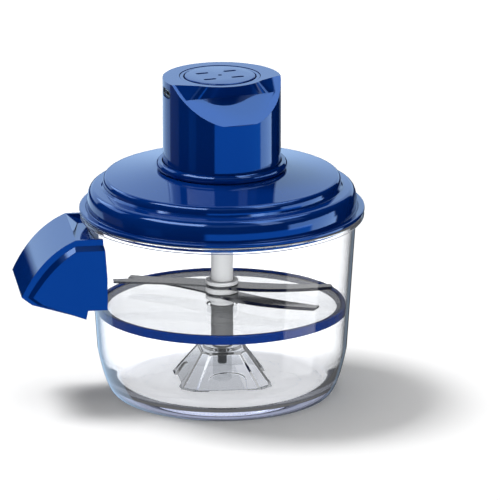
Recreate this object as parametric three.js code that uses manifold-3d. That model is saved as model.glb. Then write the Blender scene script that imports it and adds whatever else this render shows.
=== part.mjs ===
// Cordless vegetable chopper: a clear bowl with a pull handle, a stepped lid and a motor head with a button.
// Millimetres, +Z up. The origin is the centre of the bowl's underside. The handle is on the -X side and the
// front is on the -Y side.
import * as THREE from "three";
import { mergeVertices } from "three/addons/utils/BufferGeometryUtils.js";
import Module from "manifold-3d";

const wasm = await Module();
wasm.setup();

// Fits that every piece shares.
const seatGap = 0.3;
const runGap = 0.35;
const cutOverrun = 2;
const edgeBreak = 0.5;

// Facets round a full turn, and along a curve.
const largeSteps = 40;
const middleSteps = 24;
const smallSteps = 12;
const curveSteps = 4;
const browSteps = 6;

// Bowl.
const bowlHeight = 108.4;
const bowlRimRadius = 77.7;
const bowlTaper = 5;
const bowlWall = 2.5;
const bowlFloor = 6;
const bowlCornerHeight = 26;
const bowlCornerWidth = 9.2;
const bowlFlangeWidth = 4.6;
const bowlFlangeThickness = 3.8;

// Pedestal and its pin.
const pedestalHalfWidth = 26.8;
const pedestalTopHalfWidth = 13.1;
const pedestalHeight = 20;
const pedestalCornerCut = 7;
const pedestalTopCornerCut = 4;
const pedestalSideAngles = [0, 90, 180, 270];
const pedestalArchWidth = 22;
const pedestalArchHeight = 12;
const pedestalArchDepth = 1.6;
const pedestalBossRadius = 11;
const pedestalBossHeight = 1.6;
const pivotPinRadius = 2.5;
const pivotPinReach = 14;
const pivotPinSink = 12;

// Tray.
const trayUnderHeight = 48.5;
const trayRingHeight = 5.5;
const trayRingWall = 2.6;
const trayPlateThickness = 2;
const trayPlateDrop = 0.8;
const trayCollarWall = 2;
const trayCollarHeight = 7;

// Spindle and blades.
const spindleRadius = 6.35;
const spindleTopSink = 0.6;
const driveAcrossFlats = 8;
const driveSides = 6;
const driveLength = 7;
const bladeWallClear = 8.2;
const bladeThickness = 1.2;
const bladeRootWidth = 15;
const bladeTipWidth = 7;
const bladeSweep = 16;
const bladeLowerRise = 4.5;
const bladeSpacing = 5;
const bladeLowerTurn = -58;
const bladeUpperTurn = -32;
const bladeSeatWall = 2.8;
const bladeSeatHeight = 2.4;

// Lid. Its levels are measured up from the bowl's rim, its steps in from its own flange.
const lidWall = 2.5;
const lidOverhang = 0.2;
const lidFlangeThickness = 2.1;
const lidFlangeWidth = 4.6;
const lidShoulderWidth = 4.5;
const lidShoulderRise = 14.1;
const lidStepWidth = 4;
const lidPlateauInset = 3.4;
const lidPlateauRise = 20.6;
const lidTopRise = 24.6;
const lidGroove = 0.6;
const lidSkirtWall = 2.2;
const lidSkirtReach = 3.8;
const lidBeadHeight = 0.9;
const sealWidth = 2;
const sealHeight = 1.8;
const bushingWall = 2.8;
const bushingFlangeWidth = 2.5;
const bushingFlangeThickness = 1.6;

// Collar ring on the lid, round the foot of the head.
const collarWidth = 3.4;
const collarHeight = 4.7;
const collarMargin = 0.9;

// Head housing. Its front is scooped by a sloping tread under a curved riser.
const headTurn = 11.5;
const headRadius = 34;
const headHeight = 53.7;
const headWall = 2.5;
const headEdgeRadius = 0.9;
const scoopSlope = 40.7;
const scoopDrop = 20.5;
const scoopLip = 1.6;
const riserHeight = 7.5;
const riserBack = 17;
const riserFootHalfWidth = 27;
const riserFootTurnBack = 4.5;
const riserBrowRadius = 26.2;
const riserBrowHalfWidth = 19;
const riserBrowEndBack = 8;
const headBossRadius = 3;
const headBossLength = 14;
const headBossAngles = [10, 170, 270];

// Button.
const buttonRadius = 20.4;
const buttonBack = 3.2;
const buttonGap = 0.4;
const buttonProud = 0.3;
const buttonDisc = 2.2;
const buttonSkirtWall = 2;
const buttonSkirtDepth = 2.4;
const buttonLip = 1.6;
const buttonLipStart = 12;
const buttonWindowStart = 18;
const buttonTravel = 1.5;
const buttonBossRadius = 2.4;
const bezelWidth = 2.4;
const bezelDepth = 1.5;
const slotLength = 7.2;
const slotWidth = 2;
const slotDepth = 0.8;
const slotAcross = 8.4;
const slotAlong = 7;
const dotRadius = 1.1;

// Charging port on the handle side of the head.
const portWidth = 13;
const portHeight = 5.5;
const portDrop = 6.5;
const socketWidth = 8.9;
const socketHeight = 3.2;
const socketLength = 8;
const socketWall = 0.4;
const surroundDepth = 3.2;

// Gear stage: a sun pinion, three planets and a fixed ring.
const gearModule = 0.6;
const sunTeeth = 12;
const planetTeeth = 15;
const ringTeeth = 42;
const planetCount = 3;
const pressureAngle = 25;
const addendumShare = 0.85;
const dedendumShare = 1.1;
const backlash = 0.12;
const gearWidth = 5.4;
const ringWall = 3.2;
const planetPinRadius = 1.4;
const carrierThickness = 2.2;
const carrierMargin = 3.1;
const outputHubWall = 2.4;
const outputHubLength = 6.7;

// Head base, gear case, motor and its plate.
const headBaseThickness = 3;
const caseWall = 2;
const motorPlateThickness = 1.6;
const motorRadius = 12;
const motorNoseRadius = 3;
const motorNoseLength = 1.2;
const motorShaftRadius = 1;
const motorShaftSink = 4;
const motorTailRadius = 4;
const motorTailLength = 1;

// Cells, their cradle, the board and the switch.
const cellClear = 1.7;
const cellMiddleAngle = 90;
const cellSpread = 40;
const cellCount = 3;
const cellNubRadius = 1.6;
const cellNubHeight = 1;
const cradleHeight = 3;
const boardThickness = 1.6;
const boardTongueWidth = 12;
const switchWidth = 6;
const switchHeight = 3.4;
const springWire = 0.35;
const springClear = 1.2;
const springTurns = 4;
const springSides = 5;
const springTurnSteps = 10;

// Base screws.
const screwHeadRadius = 2.4;
const screwHeadHeight = 1.5;
const screwRadius = 1.2;
const screwLength = 10;

// Handle. Its reaches are measured out from the bowl's rim, its drops down from its own top.
const handleWidth = 60;
const handleWall = 3;
const handleTopDrop = 7.4;
const handleTopReach = 10.3;
const handleTipReach = 41.8;
const handleTipDrop = 33;
const handleLipReach = 35.9;
const handleLipDrop = 37.6;
const handleBackReach = 3.8;
const handleHeelReach = 4.9;
const handleHeelDrop = 47.2;
const handleNotchDrop = 42;
const handleSpineBulge = 4.2;
const handleLedgeDrop = 3;
const handleLedgeReach = 2.6;
const handleLedgeFront = 13;
const handleLedgeRim = 2;
const handleRimWidth = 4.6;
const handleRimDepth = 1.6;
const saddleTopDrop = 7.5;
const handleScrewDrops = [14, 33];
const handleScrewRadius = 1.6;
const handleScrewHeadRadius = 3.2;
const handleScrewHeadHeight = 1.8;
const handleScrewGrip = 2.6;

// Sizes that follow from the ones above, from the bowl upwards.
const radians = Math.PI / 180;
const bowlCornerRadius = bowlRimRadius - bowlTaper;
const bowlFootRadius = bowlCornerRadius - bowlCornerWidth;
const bowlFlangeRadius = bowlRimRadius + bowlFlangeWidth;
const bowlFlangeBottom = bowlHeight - bowlFlangeThickness;
const bowlInnerRim = bowlRimRadius - bowlWall;
const pedestalTop = bowlFloor + seatGap + pedestalHeight;
const pedestalBossTop = pedestalTop + pedestalBossHeight;
const trayRingTop = trayUnderHeight + trayRingHeight;
const bladeReach = bowlCornerRadius - bowlWall - bladeWallClear;
const bladeBore = spindleRadius + seatGap;
const bladeSeatRadius = bladeBore + bladeSeatWall;
const bladeLowerLevel = trayRingTop + bladeLowerRise;
const bladeUpperLevel = bladeLowerLevel + bladeSpacing;
const lidSeat = bowlHeight + seatGap;
const lidFlangeTop = lidSeat + lidFlangeThickness;
const lidFlangeRadius = bowlFlangeRadius + lidOverhang;
const lidBodyRadius = lidFlangeRadius - lidFlangeWidth;
const lidShoulderRadius = lidBodyRadius - lidShoulderWidth;
const lidShoulderLevel = bowlHeight + lidShoulderRise;
const lidStepRadius = lidShoulderRadius - lidStepWidth;
const lidPlateauRadius = lidStepRadius - lidPlateauInset;
const lidPlateauLevel = bowlHeight + lidPlateauRise;
const lidTop = bowlHeight + lidTopRise;
const lidSkirtRadius = bowlInnerRim - seatGap * 2 - sealWidth;
const lidSkirtBottom = bowlHeight - lidSkirtReach;
const spindleTop = lidTop - spindleTopSink;
const driveTop = spindleTop + driveLength;
const bushingBore = spindleRadius + runGap;
const bushingRadius = bushingBore + bushingWall;
const collarInner = headRadius + buttonGap;
const collarRadius = collarInner + collarWidth;
const headFloor = lidTop + seatGap;
const headTop = headFloor + headHeight;
const headInner = headRadius - headWall;
const headBaseTop = headFloor + headBaseThickness;
const headBossPlace = headInner - headBossRadius - edgeBreak;
const scoopFoot = headTop - scoopDrop;
const portLevel = headTop - portDrop;
const sunRadius = (gearModule * sunTeeth) / 2;
const planetRadius = (gearModule * planetTeeth) / 2;
const ringRadius = (gearModule * ringTeeth) / 2;
const planetPlace = sunRadius + planetRadius;
const ringOuterRadius = ringRadius + ringWall;
const carrierRadius = planetPlace + carrierMargin;
const driveRadius = driveAcrossFlats / 2 / Math.cos(Math.PI / driveSides);
const outputSocketRadius = driveRadius + seatGap / Math.cos(Math.PI / driveSides);
const outputHubRadius = outputSocketRadius + outputHubWall;
const carrierTop = headFloor + outputHubLength + runGap + carrierThickness;
const gearBottom = carrierTop + runGap;
const gearTop = gearBottom + gearWidth;
const caseInner = ringOuterRadius + seatGap;
const caseTop = gearTop + seatGap;
const motorBottom = caseTop + seatGap * 2 + motorPlateThickness;
const boardLevel = portLevel - socketHeight / 2 - seatGap - boardThickness;
const motorTop = boardLevel - seatGap - motorTailLength;
const caseRadius = caseInner + caseWall;
const cellPlace = (headInner + caseRadius) / 2;
const cellRadius = (headInner - caseRadius) / 2 - cellClear;
const cellBottom = headBaseTop + seatGap;
const cellTop = boardLevel - seatGap;
const boardRadius = cellPlace - cellRadius - edgeBreak;
const switchBottom = boardLevel + boardThickness + seatGap;
const switchTop = switchBottom + switchHeight;
const springRadius = switchWidth / Math.SQRT2 + springClear;
const bezelRadius = buttonRadius + buttonGap + bezelWidth;
const buttonTop = headTop + buttonProud;
const buttonUnder = buttonTop - buttonDisc;
const handleTop = bowlHeight - handleTopDrop;
const handleTip = bowlRimRadius + handleTipReach;
const handleCrest = bowlRimRadius + handleTopReach;
const handleLip = bowlRimRadius + handleLipReach;
const handleBack = bowlRimRadius + handleBackReach;
const handleHeel = bowlRimRadius + handleHeelReach;
const handleLedgeLevel = handleTop - handleLedgeDrop;
const handleRoof = handleLedgeLevel - handleWall;

// A piece's mesh geometry as a solid that can be cut and joined, and back again.
function solidOf(geometry) {
  const bare = geometry.clone();
  bare.deleteAttribute("normal");
  bare.deleteAttribute("uv");
  const merged = mergeVertices(bare);
  return new wasm.Manifold(
    new wasm.Mesh({
      numProp: 3,
      vertProperties: merged.getAttribute("position").array,
      triVerts: new Uint32Array(merged.index.array),
    }),
  );
}

function geometryOf(solid) {
  const mesh = solid.getMesh();
  const geometry = new THREE.BufferGeometry();
  geometry.setAttribute("position", new THREE.BufferAttribute(mesh.vertProperties, mesh.numProp));
  geometry.setIndex(new THREE.BufferAttribute(mesh.triVerts, 1));
  geometry.computeVertexNormals();
  return geometry;
}

const join = (first, ...rest) => rest.reduce((whole, piece) => whole.add(piece), first);
const cut = (first, ...rest) => rest.reduce((whole, piece) => whole.subtract(piece), first);

// A solid of revolution about Z, from [radius, height] points that run up the outside and down the inside.
function revolve(points, steps = largeSteps) {
  const profile = points.map(([radius, height]) => new THREE.Vector2(radius, height));
  return solidOf(new THREE.LatheGeometry(profile, steps).rotateX(Math.PI / 2));
}

// A closed ring or sleeve between two radii and two heights.
function sleeve(inner, outer, bottom, top, steps = middleSteps) {
  const outline = [
    [inner, bottom],
    [outer, bottom],
    [outer, top],
    [inner, top],
    [inner, bottom],
  ];
  return revolve(outline, steps);
}

function rod(radius, bottom, top, steps = middleSteps) {
  const outline = [
    [0, bottom],
    [radius, bottom],
    [radius, top],
    [0, top],
  ];
  return revolve(outline, steps);
}

function shapeOf(points) {
  return new THREE.Shape(points.map(([across, up]) => new THREE.Vector2(across, up)));
}

// A prism over a plan outline, between two heights.
function prism(outline, bottom, top) {
  const shape = outline instanceof THREE.Shape ? outline : shapeOf(outline);
  const settings = { depth: top - bottom, bevelEnabled: false, curveSegments: curveSteps };
  return solidOf(new THREE.ExtrudeGeometry(shape, settings).translate(0, 0, bottom));
}

// A slab whose outline lies in the XZ plane, centred on Y.
function slab(outline, width) {
  const shape = outline instanceof THREE.Shape ? outline : shapeOf(outline);
  const settings = { depth: width, bevelEnabled: false, curveSegments: curveSteps };
  const geometry = new THREE.ExtrudeGeometry(shape, settings).translate(0, 0, -width / 2);
  return solidOf(geometry.rotateX(Math.PI / 2));
}

function block(width, depth, bottom, top, x = 0, y = 0) {
  const geometry = new THREE.BoxGeometry(width, depth, top - bottom);
  return solidOf(geometry.translate(x, y, (bottom + top) / 2));
}

// A rod that lies along X, between two places on it.
function crossRod(radius, from, to, level) {
  const geometry = new THREE.CylinderGeometry(radius, radius, to - from, smallSteps);
  return solidOf(geometry.rotateZ(Math.PI / 2).translate((from + to) / 2, 0, level));
}

const moved = (solid, x, y, z = 0) => solid.translate([x, y, z]);
const turned = (solid, degrees) => solid.rotate([0, 0, degrees]);

function bend(from, control, to, steps = curveSteps) {
  const curve = new THREE.QuadraticBezierCurve(
    new THREE.Vector2(...from),
    new THREE.Vector2(...control),
    new THREE.Vector2(...to),
  );
  return curve.getPoints(steps).map((point) => [point.x, point.y]);
}

// Finishes.
const finishes = {
  blue: { color: 0x123f8f, roughness: 0.16, metalness: 0 },
  navy: { color: 0x0a2a66, roughness: 0.25, metalness: 0 },
  clear: { color: 0xeef3f8, roughness: 0.05, metalness: 0, transparent: true, opacity: 0.35 },
  white: { color: 0xf2f2f0, roughness: 0.4, metalness: 0 },
  steel: { color: 0xc9ccd0, roughness: 0.25, metalness: 1 },
  brass: { color: 0xc7a04a, roughness: 0.3, metalness: 1 },
  silicone: { color: 0xe4e8ec, roughness: 0.6, metalness: 0 },
  black: { color: 0x101114, roughness: 0.5, metalness: 0 },
  board: { color: 0x14532f, roughness: 0.5, metalness: 0 },
  cell: { color: 0x3d8a5a, roughness: 0.35, metalness: 0 },
};

function piece(name, solid, finish) {
  const mesh = new THREE.Mesh(geometryOf(solid), new THREE.MeshStandardMaterial(finishes[finish]));
  mesh.name = name;
  return mesh;
}

// Outer radius of the bowl's tapered wall at a height.
function bowlRadiusAt(height) {
  const share = (height - bowlCornerHeight) / (bowlFlangeBottom - bowlCornerHeight);
  return bowlCornerRadius + bowlTaper * share;
}

// The bowl: a flat foot, a curved corner, a tapered wall and a flange round the rim.
function bowl() {
  const footControl = [(bowlFootRadius + bowlCornerRadius) / 2, bowlWall];
  const innerFoot = [bowlFootRadius - bowlWall, bowlFloor];
  const innerCorner = [bowlCornerRadius - bowlWall, bowlCornerHeight];
  const innerControl = [bowlCornerRadius - bowlWall * 2, bowlFloor + bowlWall];
  const outside = [
    [0, 0],
    ...bend([bowlFootRadius, 0], footControl, [bowlCornerRadius, bowlCornerHeight]),
    [bowlRimRadius, bowlFlangeBottom],
    [bowlFlangeRadius - edgeBreak, bowlFlangeBottom],
    [bowlFlangeRadius, bowlFlangeBottom + edgeBreak],
    [bowlFlangeRadius, bowlHeight - edgeBreak],
    [bowlFlangeRadius - edgeBreak, bowlHeight],
  ];
  const inside = [
    [bowlInnerRim, bowlHeight],
    [bowlInnerRim, bowlFlangeBottom],
    ...bend(innerCorner, innerControl, innerFoot),
    [0, bowlFloor],
  ];
  return piece("bowl", revolve([...outside, ...inside]), "clear");
}

// A solid between a lower and an upper outline with as many points each, both counterclockwise from above.
function loft(low, bottom, high, top) {
  const count = low.length;
  const atLevel = (outline, level) => outline.map((point) => [...point, level]);
  const points = [...atLevel(low, bottom), ...atLevel(high, top)];
  const faces = [];
  for (let i = 1; i < count - 1; i += 1) {
    faces.push(0, i + 1, i, count, count + i, count + i + 1);
  }
  for (let i = 0; i < count; i += 1) {
    const next = (i + 1) % count;
    faces.push(i, next, count + next, i, count + next, count + i);
  }
  const geometry = new THREE.BufferGeometry();
  geometry.setAttribute("position", new THREE.Float32BufferAttribute(points.flat(), 3));
  geometry.setIndex(faces);
  return solidOf(geometry);
}

// A square with cut corners, counterclockwise.
function cornerCutSquare(half, corner) {
  const flat = half - corner;
  return [
    [flat, -half],
    [half, -flat],
    [half, flat],
    [flat, half],
    [-flat, half],
    [-half, flat],
    [-half, -flat],
    [-flat, -half],
  ];
}

// The pedestal: a square pyramid with cut corners, an arched recess in each side and a boss round the pin.
function pedestal() {
  const bottom = bowlFloor + seatGap;
  const low = cornerCutSquare(pedestalHalfWidth, pedestalCornerCut);
  const high = cornerCutSquare(pedestalTopHalfWidth, pedestalTopCornerCut);
  const slope = Math.atan2(pedestalHalfWidth - pedestalTopHalfWidth, pedestalHeight);
  const half = pedestalArchWidth / 2;
  const spring = pedestalArchHeight - half / 2;
  const arch = new THREE.Shape();
  arch.moveTo(-half, -cutOverrun);
  arch.lineTo(half, -cutOverrun);
  arch.lineTo(half, spring);
  arch.quadraticCurveTo(half, pedestalArchHeight, 0, pedestalArchHeight);
  arch.quadraticCurveTo(-half, pedestalArchHeight, -half, spring);
  const depth = pedestalArchDepth + cutOverrun;
  const tool = new THREE.ExtrudeGeometry(arch, { depth, bevelEnabled: false, curveSegments: curveSteps });
  const recess = solidOf(tool.translate(0, 0, -pedestalArchDepth).rotateX(Math.PI / 2 - slope));
  const placed = moved(recess, 0, -pedestalHalfWidth, bottom);
  const recesses = pedestalSideAngles.map((angle) => turned(placed, angle));
  const boss = rod(pedestalBossRadius, pedestalTop - cutOverrun, pedestalBossTop);
  const holeBottom = pedestalBossTop - pivotPinSink - seatGap;
  const pinHole = rod(pivotPinRadius + seatGap, holeBottom, pedestalBossTop + cutOverrun, smallSteps);
  const body = join(loft(low, bottom, high, pedestalTop), boss);
  return piece("pivot_pedestal", cut(body, ...recesses, pinHole), "clear");
}

function pivotPin() {
  const top = pedestalBossTop + pivotPinReach;
  const profile = [
    [0, pedestalBossTop - pivotPinSink],
    [pivotPinRadius, pedestalBossTop - pivotPinSink],
    [pivotPinRadius, top - edgeBreak],
    [pivotPinRadius - edgeBreak, top],
    [0, top],
  ];
  return piece("pivot_pin", revolve(profile, smallSteps), "steel");
}

// The tray: a ring that wedges in the taper of the bowl, and a plate with a collar round the spindle.
function tray() {
  const low = bowlRadiusAt(trayUnderHeight) - bowlWall - seatGap;
  const high = bowlRadiusAt(trayRingTop) - bowlWall - seatGap;
  const ledge = trayRingTop - trayPlateDrop - trayPlateThickness - seatGap;
  const ring = revolve([
    [low - trayRingWall * 2, trayUnderHeight],
    [low, trayUnderHeight],
    [high, trayRingTop],
    [high - trayRingWall, trayRingTop],
    [high - trayRingWall, ledge],
    [low - trayRingWall * 2, ledge],
    [low - trayRingWall * 2, trayUnderHeight],
  ]);
  const bore = spindleRadius + runGap;
  const plateRadius = high - trayRingWall - seatGap;
  const plateBottom = ledge + seatGap;
  const plateTop = plateBottom + trayPlateThickness;
  const plate = revolve([
    [bore, plateTop - trayCollarHeight],
    [bore + trayCollarWall, plateTop - trayCollarHeight],
    [bore + trayCollarWall, plateBottom],
    [plateRadius, plateBottom],
    [plateRadius, plateTop],
    [bore, plateTop],
    [bore, plateTop - trayCollarHeight],
  ]);
  return [piece("tray_ring", ring, "blue"), piece("tray_plate", plate, "clear")];
}

// The spindle: a thick shaft on the pivot pin, with a hexagonal drive end turned to match the head.
function spindleShaft() {
  const bottom = pedestalBossTop + seatGap;
  const drive = rod(driveRadius, spindleTop - cutOverrun, driveTop, driveSides);
  const pinTop = pedestalBossTop + pivotPinReach;
  const bore = rod(pivotPinRadius + runGap, bottom - cutOverrun, pinTop + seatGap, smallSteps);
  const shaft = join(rod(spindleRadius, bottom, spindleTop), turned(drive, headTurn));
  return piece("spindle_shaft", cut(shaft, bore), "white");
}

// One blade: two swept wings from a round root.
function blade(level) {
  const root = bladeRootWidth / 2;
  const middle = bladeReach / 2;
  const wing = new THREE.Shape();
  wing.moveTo(0, -root);
  wing.lineTo(root, -root);
  wing.quadraticCurveTo(middle, -root, bladeReach, bladeSweep);
  wing.lineTo(bladeReach - bladeTipWidth / 2, bladeSweep + bladeTipWidth);
  wing.quadraticCurveTo(middle, root + bladeTipWidth / 2, root, root);
  wing.lineTo(0, root);
  const top = level + bladeThickness;
  const one = prism(wing, level, top);
  const bore = rod(bladeBore, level - cutOverrun, top + cutOverrun);
  return cut(join(one, turned(one, 180), rod(bladeSeatRadius, level, top)), bore);
}

// The two blades and the sleeves that clamp them: a seat below, a spacer between and a cap above.
function blades() {
  const collar = (bottom, top) => sleeve(bladeBore, bladeSeatRadius, bottom, top);
  const overLower = bladeLowerLevel + bladeThickness + seatGap;
  const overUpper = bladeUpperLevel + bladeThickness + seatGap;
  const underLower = bladeLowerLevel - seatGap;
  return [
    piece("blade_lower", turned(blade(bladeLowerLevel), bladeLowerTurn), "steel"),
    piece("blade_upper", turned(blade(bladeUpperLevel), bladeUpperTurn), "steel"),
    piece("blade_seat", collar(underLower - bladeSeatHeight, underLower), "white"),
    piece("blade_spacer", collar(overLower, bladeUpperLevel - seatGap), "white"),
    piece("blade_cap", collar(overUpper, overUpper + bladeSeatHeight), "white"),
  ];
}

// The lid: a flange on the bowl's rim, a shoulder, a step up to a plateau, and a skirt inside the bowl.
function lidShell() {
  const skirtInner = lidSkirtRadius - lidSkirtWall;
  const bead = bowlInnerRim - seatGap - edgeBreak;
  const pocketTop = lidShoulderLevel - lidWall * 2;
  const stepFoot = lidShoulderLevel + edgeBreak;
  const outside = [
    [skirtInner, lidSkirtBottom],
    [bead, lidSkirtBottom],
    [bead, lidSkirtBottom + lidBeadHeight],
    [lidSkirtRadius, lidSkirtBottom + lidBeadHeight],
    [lidSkirtRadius, pocketTop],
    [lidBodyRadius - lidWall, pocketTop - lidWall],
    [lidBodyRadius - lidWall, lidSeat],
    [lidFlangeRadius, lidSeat],
    [lidFlangeRadius, lidFlangeTop - edgeBreak],
    [lidFlangeRadius - edgeBreak, lidFlangeTop],
    [lidBodyRadius + lidGroove * 2, lidFlangeTop],
    [lidBodyRadius, lidFlangeTop - lidGroove],
    ...bend(
      [lidBodyRadius, lidFlangeTop + lidWall],
      [lidBodyRadius, lidShoulderLevel],
      [lidShoulderRadius, lidShoulderLevel],
    ),
    [lidStepRadius + edgeBreak, stepFoot],
    ...bend(
      [lidStepRadius - edgeBreak, stepFoot + lidWall / 2],
      [lidStepRadius - edgeBreak, lidPlateauLevel],
      [lidPlateauRadius, lidPlateauLevel],
    ),
    [collarRadius + collarMargin, lidTop],
    [bushingRadius + seatGap, lidTop],
  ];
  const inside = [
    [bushingRadius + seatGap, lidTop - lidWall],
    [collarRadius + collarMargin, lidTop - lidWall],
    [lidPlateauRadius - lidWall / 2, lidPlateauLevel - lidWall],
    [lidPlateauRadius, lidShoulderLevel - lidWall],
    [skirtInner, pocketTop - lidWall],
    [skirtInner, lidSkirtBottom],
  ];
  return piece("lid_shell", revolve([...outside, ...inside]), "blue");
}

function lidSeal() {
  const bottom = lidSkirtBottom + lidBeadHeight + seatGap;
  const inner = lidSkirtRadius + seatGap;
  const outer = lidSkirtRadius + sealWidth;
  return piece("lid_seal", sleeve(inner, outer, bottom, bottom + sealHeight, largeSteps), "silicone");
}

// The bushing that guides the spindle through the lid.
function shaftBushing() {
  const flangeTop = lidTop - lidWall - seatGap;
  const profile = [
    [bushingBore, flangeTop - bushingFlangeThickness],
    [bushingRadius + bushingFlangeWidth, flangeTop - bushingFlangeThickness],
    [bushingRadius + bushingFlangeWidth, flangeTop],
    [bushingRadius, flangeTop],
    [bushingRadius, lidTop - seatGap],
    [bushingBore, lidTop - seatGap],
    [bushingBore, flangeTop - bushingFlangeThickness],
  ];
  return piece("shaft_bushing", revolve(profile, middleSteps), "white");
}

// The rounded ring on the lid that the head drops into.
function collarRing() {
  const bottom = lidTop + seatGap;
  const top = bottom + collarHeight;
  const waist = collarRadius - collarWidth / 3;
  const profile = [
    [collarInner, bottom],
    ...bend([waist, bottom], [collarRadius + collarWidth / 3, (bottom + top) / 2], [waist, top]),
    [collarInner + edgeBreak, top],
    [collarInner, top - edgeBreak],
    [collarInner, bottom],
  ];
  return piece("collar_ring", revolve(profile), "blue");
}

// The plan outline of what stands behind the scoop's riser, at a share of the riser's height.
function riserOutline(share, inset) {
  const reach = headRadius + cutOverrun;
  const footEnd = [reach, riserBack - riserFootTurnBack];
  const browEnd = [reach, riserBrowEndBack - cutOverrun];
  const halfTurn = Math.asin(riserBrowHalfWidth / riserBrowRadius);
  const foot = [footEnd];
  const brow = [browEnd];
  for (let step = browSteps; step >= -browSteps; step -= 1) {
    const angle = (halfTurn * step) / browSteps;
    foot.push([(riserFootHalfWidth * step) / browSteps, riserBack]);
    brow.push([riserBrowRadius * Math.sin(angle), riserBrowRadius * Math.cos(angle) - buttonBack]);
  }
  foot.push([-footEnd[0], footEnd[1]]);
  brow.push([-browEnd[0], browEnd[1]]);
  const front = foot.map(([across, depth], index) => {
    const [browAcross, browDepth] = brow[index];
    const at = (low, high) => low + (high - low) * share;
    return [at(across, browAcross), inset - at(depth, browDepth)];
  });
  return [[reach, reach], [-reach, reach], ...front.reverse()];
}

// The space that the scoop takes from the head: above a sloping tread, and in front of a riser whose foot is
// straight and whose brow follows the button.
function scoop(inset) {
  const rise = Math.tan(scoopSlope * radians);
  const foot = scoopFoot - inset / Math.cos(scoopSlope * radians);
  const reach = headRadius + cutOverrun;
  const side = new THREE.Shape();
  side.moveTo(-reach, foot);
  side.lineTo(-headRadius + scoopLip, foot);
  side.lineTo(0, foot + (headRadius - scoopLip) * rise);
  side.lineTo(0, headTop + reach);
  side.lineTo(-reach, headTop + reach);
  const wedge = new THREE.ExtrudeGeometry(side, { depth: reach * 2, bevelEnabled: false });
  wedge.translate(0, 0, -reach).rotateX(Math.PI / 2).rotateZ(Math.PI / 2);
  const shareAt = (level) => (level - (headTop - riserHeight)) / riserHeight;
  const low = headTop - riserHeight - cutOverrun * 2;
  const high = headTop + cutOverrun;
  const kept = loft(riserOutline(shareAt(low), inset), low, riserOutline(shareAt(high), inset), high);
  return cut(solidOf(wedge), kept);
}

// The housing of the head: a capped cylinder with the scoop, the button well, the port and screw bosses.
function headHousing() {
  const outerProfile = [
    [0, headFloor],
    [headRadius, headFloor],
    [headRadius, headTop - headEdgeRadius],
    [headRadius - headEdgeRadius / 3, headTop - headEdgeRadius / 3],
    [headRadius - headEdgeRadius, headTop],
    [0, headTop],
  ];
  const room = rod(headInner, headFloor - cutOverrun, headTop - headWall, largeSteps);
  const hollow = cut(room, scoop(headWall));
  const shell = cut(revolve(outerProfile), scoop(0), hollow);
  const bossBottom = headBaseTop + seatGap;
  const bossTop = bossBottom + headBossLength;
  const webLength = headRadius - headWall / 2 - headBossPlace;
  const web = moved(block(webLength, headBossRadius, bossBottom, bossTop), webLength / 2, 0);
  const boss = join(rod(headBossRadius, bossBottom, bossTop, smallSteps), web);
  const pilotTop = headFloor + screwHeadHeight + screwLength + edgeBreak;
  const pilot = rod(screwRadius + seatGap, headFloor, pilotTop, smallSteps);
  const atBosses = (solid) => headBossAngles.map((angle) => turned(moved(solid, headBossPlace, 0), angle));
  const above = headTop + cutOverrun;
  const well = rod(buttonRadius + buttonGap, headTop - headWall * 2, above, largeSteps);
  const recess = rod(bezelRadius + seatGap, headTop - bezelDepth, above, largeSteps);
  const opening = moved(join(well, recess), 0, buttonBack);
  const port = portBar(portWidth, portHeight, -headRadius - cutOverrun, -headInner + cutOverrun * 2);
  const whole = join(shell, ...atBosses(boss));
  return piece("head_housing", cut(whole, ...atBosses(pilot), opening, port), "blue");
}

// A bar along X with round ends across its width, for the port and what fills it.
function portBar(width, height, from, to) {
  const half = width / 2;
  const end = height / 2;
  const outline = new THREE.Shape();
  outline.moveTo(-half + end, -end);
  outline.lineTo(half - end, -end);
  outline.absarc(half - end, 0, end, -Math.PI / 2, Math.PI / 2);
  outline.lineTo(-half + end, end);
  outline.absarc(-half + end, 0, end, Math.PI / 2, (Math.PI * 3) / 2);
  const settings = { depth: to - from, bevelEnabled: false, curveSegments: curveSteps };
  const bar = new THREE.ExtrudeGeometry(outline, settings);
  bar.rotateX(Math.PI / 2).rotateZ(Math.PI / 2);
  return solidOf(bar.translate(from, 0, portLevel));
}

// The dark liner of the port, and the metal shell of the socket in it.
function chargePort() {
  const face = -headRadius + edgeBreak;
  const inner = face + surroundDepth;
  const liner = portBar(portWidth - seatGap * 2, portHeight - seatGap * 2, face, inner);
  const room = seatGap * 2;
  const mouth = portBar(socketWidth + room, socketHeight + room, face - cutOverrun, inner + cutOverrun);
  const shellFrom = face + edgeBreak;
  const shellTo = shellFrom + socketLength;
  const shell = portBar(socketWidth, socketHeight, shellFrom, shellTo);
  const walls = socketWall * 2;
  const hollowTo = shellTo - cutOverrun;
  const hollow = portBar(socketWidth - walls, socketHeight - walls, shellFrom - cutOverrun, hollowTo);
  return [
    piece("port_surround", cut(liner, mouth), "black"),
    piece("charge_socket", cut(shell, hollow), "steel"),
  ];
}

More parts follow.
